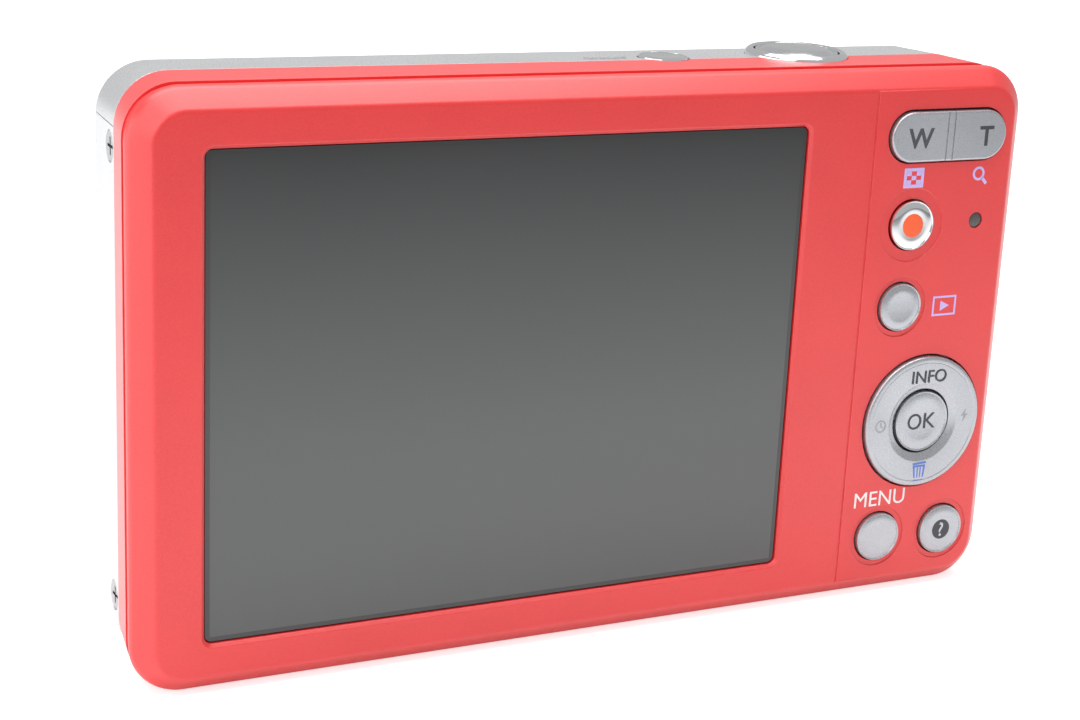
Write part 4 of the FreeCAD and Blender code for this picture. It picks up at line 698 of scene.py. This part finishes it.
def rear_legends():
    lettering("legend_wide", "W", 2.1, on_rear("zoom_rocker", -3.7, -0.1), "ink_dark",
              "zoom_rocker", 0.02)
    lettering("legend_tele", "T", 2.1, on_rear("zoom_rocker", 4.6, -0.1), "ink_dark",
              "zoom_rocker", 0.02)
    lettering("legend_info", "INFO", 1.4, on_rear("arrow_pad", 0.3, 5.1), "ink_dark",
              "arrow_pad")
    lettering("legend_ok", "OK", 1.75, on_rear("ok_button") @ Matrix.Translation((0, 0, -0.08)),
              "ink_dark", "ok_button", bowl=OK_BOWL)
    lettering("legend_menu", "MENU", 1.7, on_rear("menu_button", -0.1, 4.4, shell=True),
              "ink_white", "root")
    guide = on_rear("guide_button") @ Matrix.Translation((0, 0, -0.10))
    legend("guide_disc", "ink_dark", "guide_button", [(circle(1.13),)], guide)
    lettering("guide_mark", "?", 1.6, guide @ Matrix.Translation((0, 0, LEGEND_THICK)),
              "silver_button", "guide_button", 0.01)
    tiles = [(frame_points(2.15, 1.75), 0.34, True)]
    for across in (-0.60, 0.0, 0.60):
        for up in (-0.46, 0.0, 0.46):
            if (across == 0) == (up == 0):
                tiles.append((frame_points(0.56, 0.46, across, up),))
    legend("legend_index", "ink_lilac", "root", tiles,
           on_rear("zoom_rocker", -3.8, -4.33, shell=True))
    legend("legend_closer", "ink_lilac", "root",
           [(circle(0.62), 0.26, True), ([(0.48, -0.48), (1.08, -1.12)], 0.34, False)],
           on_rear("zoom_rocker", 4.45, -4.2, shell=True))
    legend("legend_play", "ink_lilac", "root",
           [(frame_points(2.8, 1.95), 0.22, True), ([(-0.5, -0.55), (0.62, 0.0), (-0.5, 0.55)],)],
           on_rear("playback_button", 5.75, -0.25, shell=True))
    legend("legend_bin", "ink_blue", "arrow_pad",
           [([(-0.68, 0.55), (0.68, 0.55), (0.52, -1.0), (-0.52, -1.0)], 0.20, True),
            ([(-0.85, 0.82), (0.85, 0.92)], 0.22, False),
            ([(-0.20, 0.40), (-0.16, -0.85)], 0.14, False),
            ([(0.20, 0.40), (0.16, -0.85)], 0.14, False)],
           on_rear("arrow_pad", 0.1, -5.6) @ Matrix.Translation((0, 0, -PAD_FACE_SUNK)))
    legend("legend_flash", "ink_faint", "arrow_pad",
           [([(0.18, 0.75), (-0.42, -0.10), (-0.02, -0.10), (-0.18, -0.75), (0.42, 0.10),
              (0.02, 0.10)],)],
           on_rear("arrow_pad", 5.45, 0.3) @ Matrix.Translation((0, 0, -PAD_FACE_SUNK)))
    legend("legend_timer", "ink_faint", "arrow_pad",
           [(circle(0.62), 0.14, True), ([(0.0, 0.42), (0.0, 0.0), (0.30, -0.18)], 0.13, False)],
           on_rear("arrow_pad", -5.45, 0.0) @ Matrix.Translation((0, 0, -PAD_FACE_SUNK)))


def top_legends():
    middle = centre_of("power_button")
    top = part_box("top_cover")[1].z
    lettering("legend_power", "ON/OFF", 0.95, facing("top", (middle.x - 6.6 * MM, middle.y, top)),
              "ink_faint", "root")


# Front -------------------------------------------------------------------------------------

def front_place(node, out=0.0):
    middle, face = centre_of(node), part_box(node)[1].y
    return facing("front", (middle.x, face + out * MM, middle.z))


def nose():
    """Front plate of the lens: a stepped black baffle round the opening."""
    low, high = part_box("nose_plate")
    outer, hole, thick = (high.x - low.x) / 2 / MM, 4.6, 0.9
    steps = 9
    corners = [(hole, -thick, 0), (outer, -thick, 0), (outer, -0.05, 0.05)]
    run = (outer - 0.6 - hole - 0.4) / steps
    for k in range(steps):
        radius = outer - 0.6 - run * k
        fall = 0.45 * (k / steps) ** 1.3
        corners += [(radius, -0.02 - fall, 0.0), (radius - run * 0.35, -0.10 - fall, 0.0)]
    corners += [(hole + 0.15, -0.62, 0.05), (hole, -0.72, 0.0)]
    bm = bmesh.new()
    lathe(bm, soften(corners), front_place("nose_plate"), closed=True, steps=128)
    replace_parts(piece("nose_baffle", bm, "black_plastic", BODY_OF["nose_plate"],
                      sharp=20), "nose_plate")


def timer_window():
    """Fresnel-stepped lamp window on the front."""
    low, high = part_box("timer_lamp")
    radius, deep = (high.x - low.x) / 2 / MM, (high.y - low.y) / MM
    outline = [(0, -deep), (radius, -deep), (radius, -0.10), (radius - 0.06, -0.02)]
    for k in range(4):
        edge = (radius - 0.2) * (1 - k / 4)
        outline += [(edge, -0.02), (max(0.0, edge - 0.06), -0.12)]
    outline.append((0, -0.08))
    bm = bmesh.new()
    lathe(bm, outline, front_place("timer_lamp"), steps=64)
    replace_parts(piece("timer_window", bm, "lamp_clear", "root"),
                "timer_lamp")


def flash_ribs():
    """Upright ribs behind the flash window that spread its light."""
    low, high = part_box("flash_window")
    count = 22
    wide, tall = (high.x - low.x) / MM - 1.2, (high.z - low.z) / MM - 1.0
    place = facing("front", (centre_of("flash_window").x, low.y, centre_of("flash_window").z))
    pitch = wide / count
    bm = bmesh.new()
    for k in range(count):
        across = -wide / 2 + pitch * (k + 0.5)
        arc = [(across + pitch * 0.5 * math.cos(a), -0.02 - 0.16 * math.sin(a))
               for a in (math.pi * i / 6 for i in range(7))]
        ends = [[bm.verts.new(place @ Vector((x, up, out))) for x, out in arc]
                for up in (-tall / 2, tall / 2)]
        bm.faces.new(ends[0])
        bm.faces.new(ends[1])
        bridge(bm, ends[0], ends[1])
    piece("flash_ribs", bm, "lamp_clear", "root")


BUSH_THREAD = (2.55, 0.55, 1.27, 5.0)  # minor radius, thread depth, pitch and bore depth in mm


def threaded_bush():
    """The tripod bush, its bore cut with a real helical thread."""
    low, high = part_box("tripod_bush")
    outer, deep = (high.x - low.x) / 2 / MM, (high.z - low.z) / MM
    minor, depth, pitch, bore = BUSH_THREAD
    steps, rows = 72, 80
    place = facing("base", (centre_of("tripod_bush").x, centre_of("tripod_bush").y, low.z))
    bm = bmesh.new()

    def loop(radius_at, out):
        turns = [2 * math.pi * i / steps for i in range(steps)]
        return [bm.verts.new(place @ Vector((radius_at(a) * math.cos(a),
                                             radius_at(a) * math.sin(a), out))) for a in turns]

    def groove(out):
        fade = min(1.0, -out / pitch, (bore + out) / pitch)

        def radius_at(angle):
            phase = (out / pitch + angle / (2 * math.pi)) % 1.0
            return minor + depth * max(0.0, fade) * min(1.0, 1.25 - abs(phase * 2 - 1) * 1.25)

        return radius_at

    loops = [loop(lambda a: outer - 0.1, 0.0), loop(lambda a: outer, -0.1),
             loop(lambda a: outer, -deep)]
    cap = [bm.verts.new(place @ Vector((0, 0, -deep)))]
    bridge(bm, loops[0], loops[1])
    bridge(bm, loops[1], loops[2])
    bridge(bm, loops[2], cap)
    previous = loops[0]
    for k in range(rows + 1):
        out = -bore * k / rows
        current = loop(groove(out), out)
        bridge(bm, previous, current)
        previous = current
    bridge(bm, previous, [bm.verts.new(place @ Vector((0, 0, -bore)))])
    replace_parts(piece("threaded_bush", bm, "gear_brass", "root"),
                "tripod_bush")


small_keys()
arrow_pad()
centre_key()
status_lamp()
top_keys()
rear_legends()
top_legends()
nose()
timer_window()
flash_ribs()
threaded_bush()


# Stage, light and camera -------------------------------------------------------------------

FLOOR_SHADE_SPAN = (-0.26, -0.08)
FLOOR_GLOW = 0.12
FLOOR_GLOW_SEEN = 0.60
SKY_BEHIND = 0.50
SKY_AHEAD = 0.52
SKY_SEEN = 1.05


def floor_look():
    """A pale, faintly lit table; in reflections and bounced light a painted shade darkens it
    towards the viewer.
    """
    look = Look("floor", roughness=0.55, specular_ior_level=0.2)
    seen = look.add("ShaderNodeLightPath").outputs["Is Camera Ray"]
    # Painted shade: away from camera rays the floor darkens towards the viewer over this span of Y,
    # in both colour and glow.
    near = look.math("MAXIMUM", seen, look.spread(look.axis("Y"), *FLOOR_SHADE_SPAN, 0.0, 1.0))
    pale = look.mix(look.noise(60.0), (0.88, 0.88, 0.885), (0.91, 0.91, 0.91))
    look.feed("Base Color", look.mix(near, (0.34, 0.34, 0.35), pale))
    look.feed("Emission Color", (1.0, 1.0, 1.0))
    brightness_ramp = look.spread(seen, 0.0, 1.0, FLOOR_GLOW, FLOOR_GLOW_SEEN)
    look.feed("Emission Strength", look.math("MULTIPLY", near, brightness_ramp))
    look.bump(look.noise(0.6, detail=4), 0.01)
    return look.material


def make_floor():
    bm = bmesh.new()
    reach = 4.0
    bmesh.ops.create_grid(bm, x_segments=8, y_segments=8, size=reach)
    mesh = bpy.data.meshes.new("floor")
    bm.to_mesh(mesh)
    bm.free()
    mesh.materials.append(floor_look())
    floor = bpy.data.objects.new("floor", mesh)
    floor.location.z = CAD_BOX[0].z
    bpy.context.scene.collection.objects.link(floor)


def softbox(name, place, size, power, target=(0, 0, 0.028)):
    light = bpy.data.lights.new(name, "AREA")
    light.shape = "RECTANGLE"
    light.size, light.size_y = size
    light.energy = power
    lamp = bpy.data.objects.new(name, light)
    lamp.location = place
    lamp.rotation_euler = (Vector(target) - Vector(place)).to_track_quat("-Z", "Y").to_euler()
    bpy.context.scene.collection.objects.link(lamp)


def make_light():
    """A light tent, nearly even all round and white to the camera, with three soft lamps."""
    world = bpy.data.worlds.new("studio")
    world.use_nodes = True
    nodes, links = world.node_tree.nodes, world.node_tree.links
    ahead = nodes.new("ShaderNodeSeparateXYZ")
    links.new(nodes.new("ShaderNodeTexCoord").outputs["Generated"], ahead.inputs[0])
    around = nodes.new("ShaderNodeMapRange")
    links.new(ahead.outputs["Y"], around.inputs["Value"])
    for socket, value in (("From Min", -1.0), ("To Min", SKY_BEHIND), ("To Max", SKY_AHEAD)):
        around.inputs[socket].default_value = value
    seen = nodes.new("ShaderNodeMix")
    links.new(nodes.new("ShaderNodeLightPath").outputs["Is Camera Ray"], seen.inputs[0])
    links.new(around.outputs[0], seen.inputs[2])
    seen.inputs[3].default_value = SKY_SEEN
    links.new(seen.outputs[0], nodes["Background"].inputs["Strength"])
    nodes["Background"].inputs["Color"].default_value = (1.0, 1.0, 1.0, 1.0)
    bpy.context.scene.world = world
    softbox("overhead", (0.0, 0.03, 0.62), (0.7, 0.6), 4.3)
    softbox("key", (-0.55, -0.45, 0.50), (0.5, 0.5), 1.6)
    softbox("side", (-0.55, 0.05, 0.16), (0.6, 0.3), 0.9)
    bpy.context.scene.view_settings.view_transform = "Standard"


def make_camera():
    """The photograph's view: its place, aim and roll, with the lens axis off the picture centre."""
    azimuth, elevation, roll = (math.radians(a) for a in (-30.66, 18.07, 4.04))
    ahead = Vector((-math.sin(azimuth) * math.cos(elevation),
                    math.cos(azimuth) * math.cos(elevation), -math.sin(elevation)))
    right = ahead.cross(Vector((0, 0, 1))).normalized()
    up = right.cross(ahead)
    across = math.cos(roll) * right + math.sin(roll) * up
    over = -math.sin(roll) * right + math.cos(roll) * up
    matrix = Matrix((across, over, -ahead)).transposed().to_4x4()
    matrix.translation = Vector((-0.10549, -0.20539, 0.09426))
    data = bpy.data.cameras.new("camera")
    data.sensor_width = 36.0
    data.lens = 78.0
    data.shift_x = -0.14815
    data.shift_y = 0.07407
    data.clip_start = 0.01
    camera = bpy.data.objects.new("camera", data)
    camera.matrix_world = matrix
    bpy.context.scene.collection.objects.link(camera)
    bpy.context.scene.camera = camera


make_floor()
make_light()
make_camera()
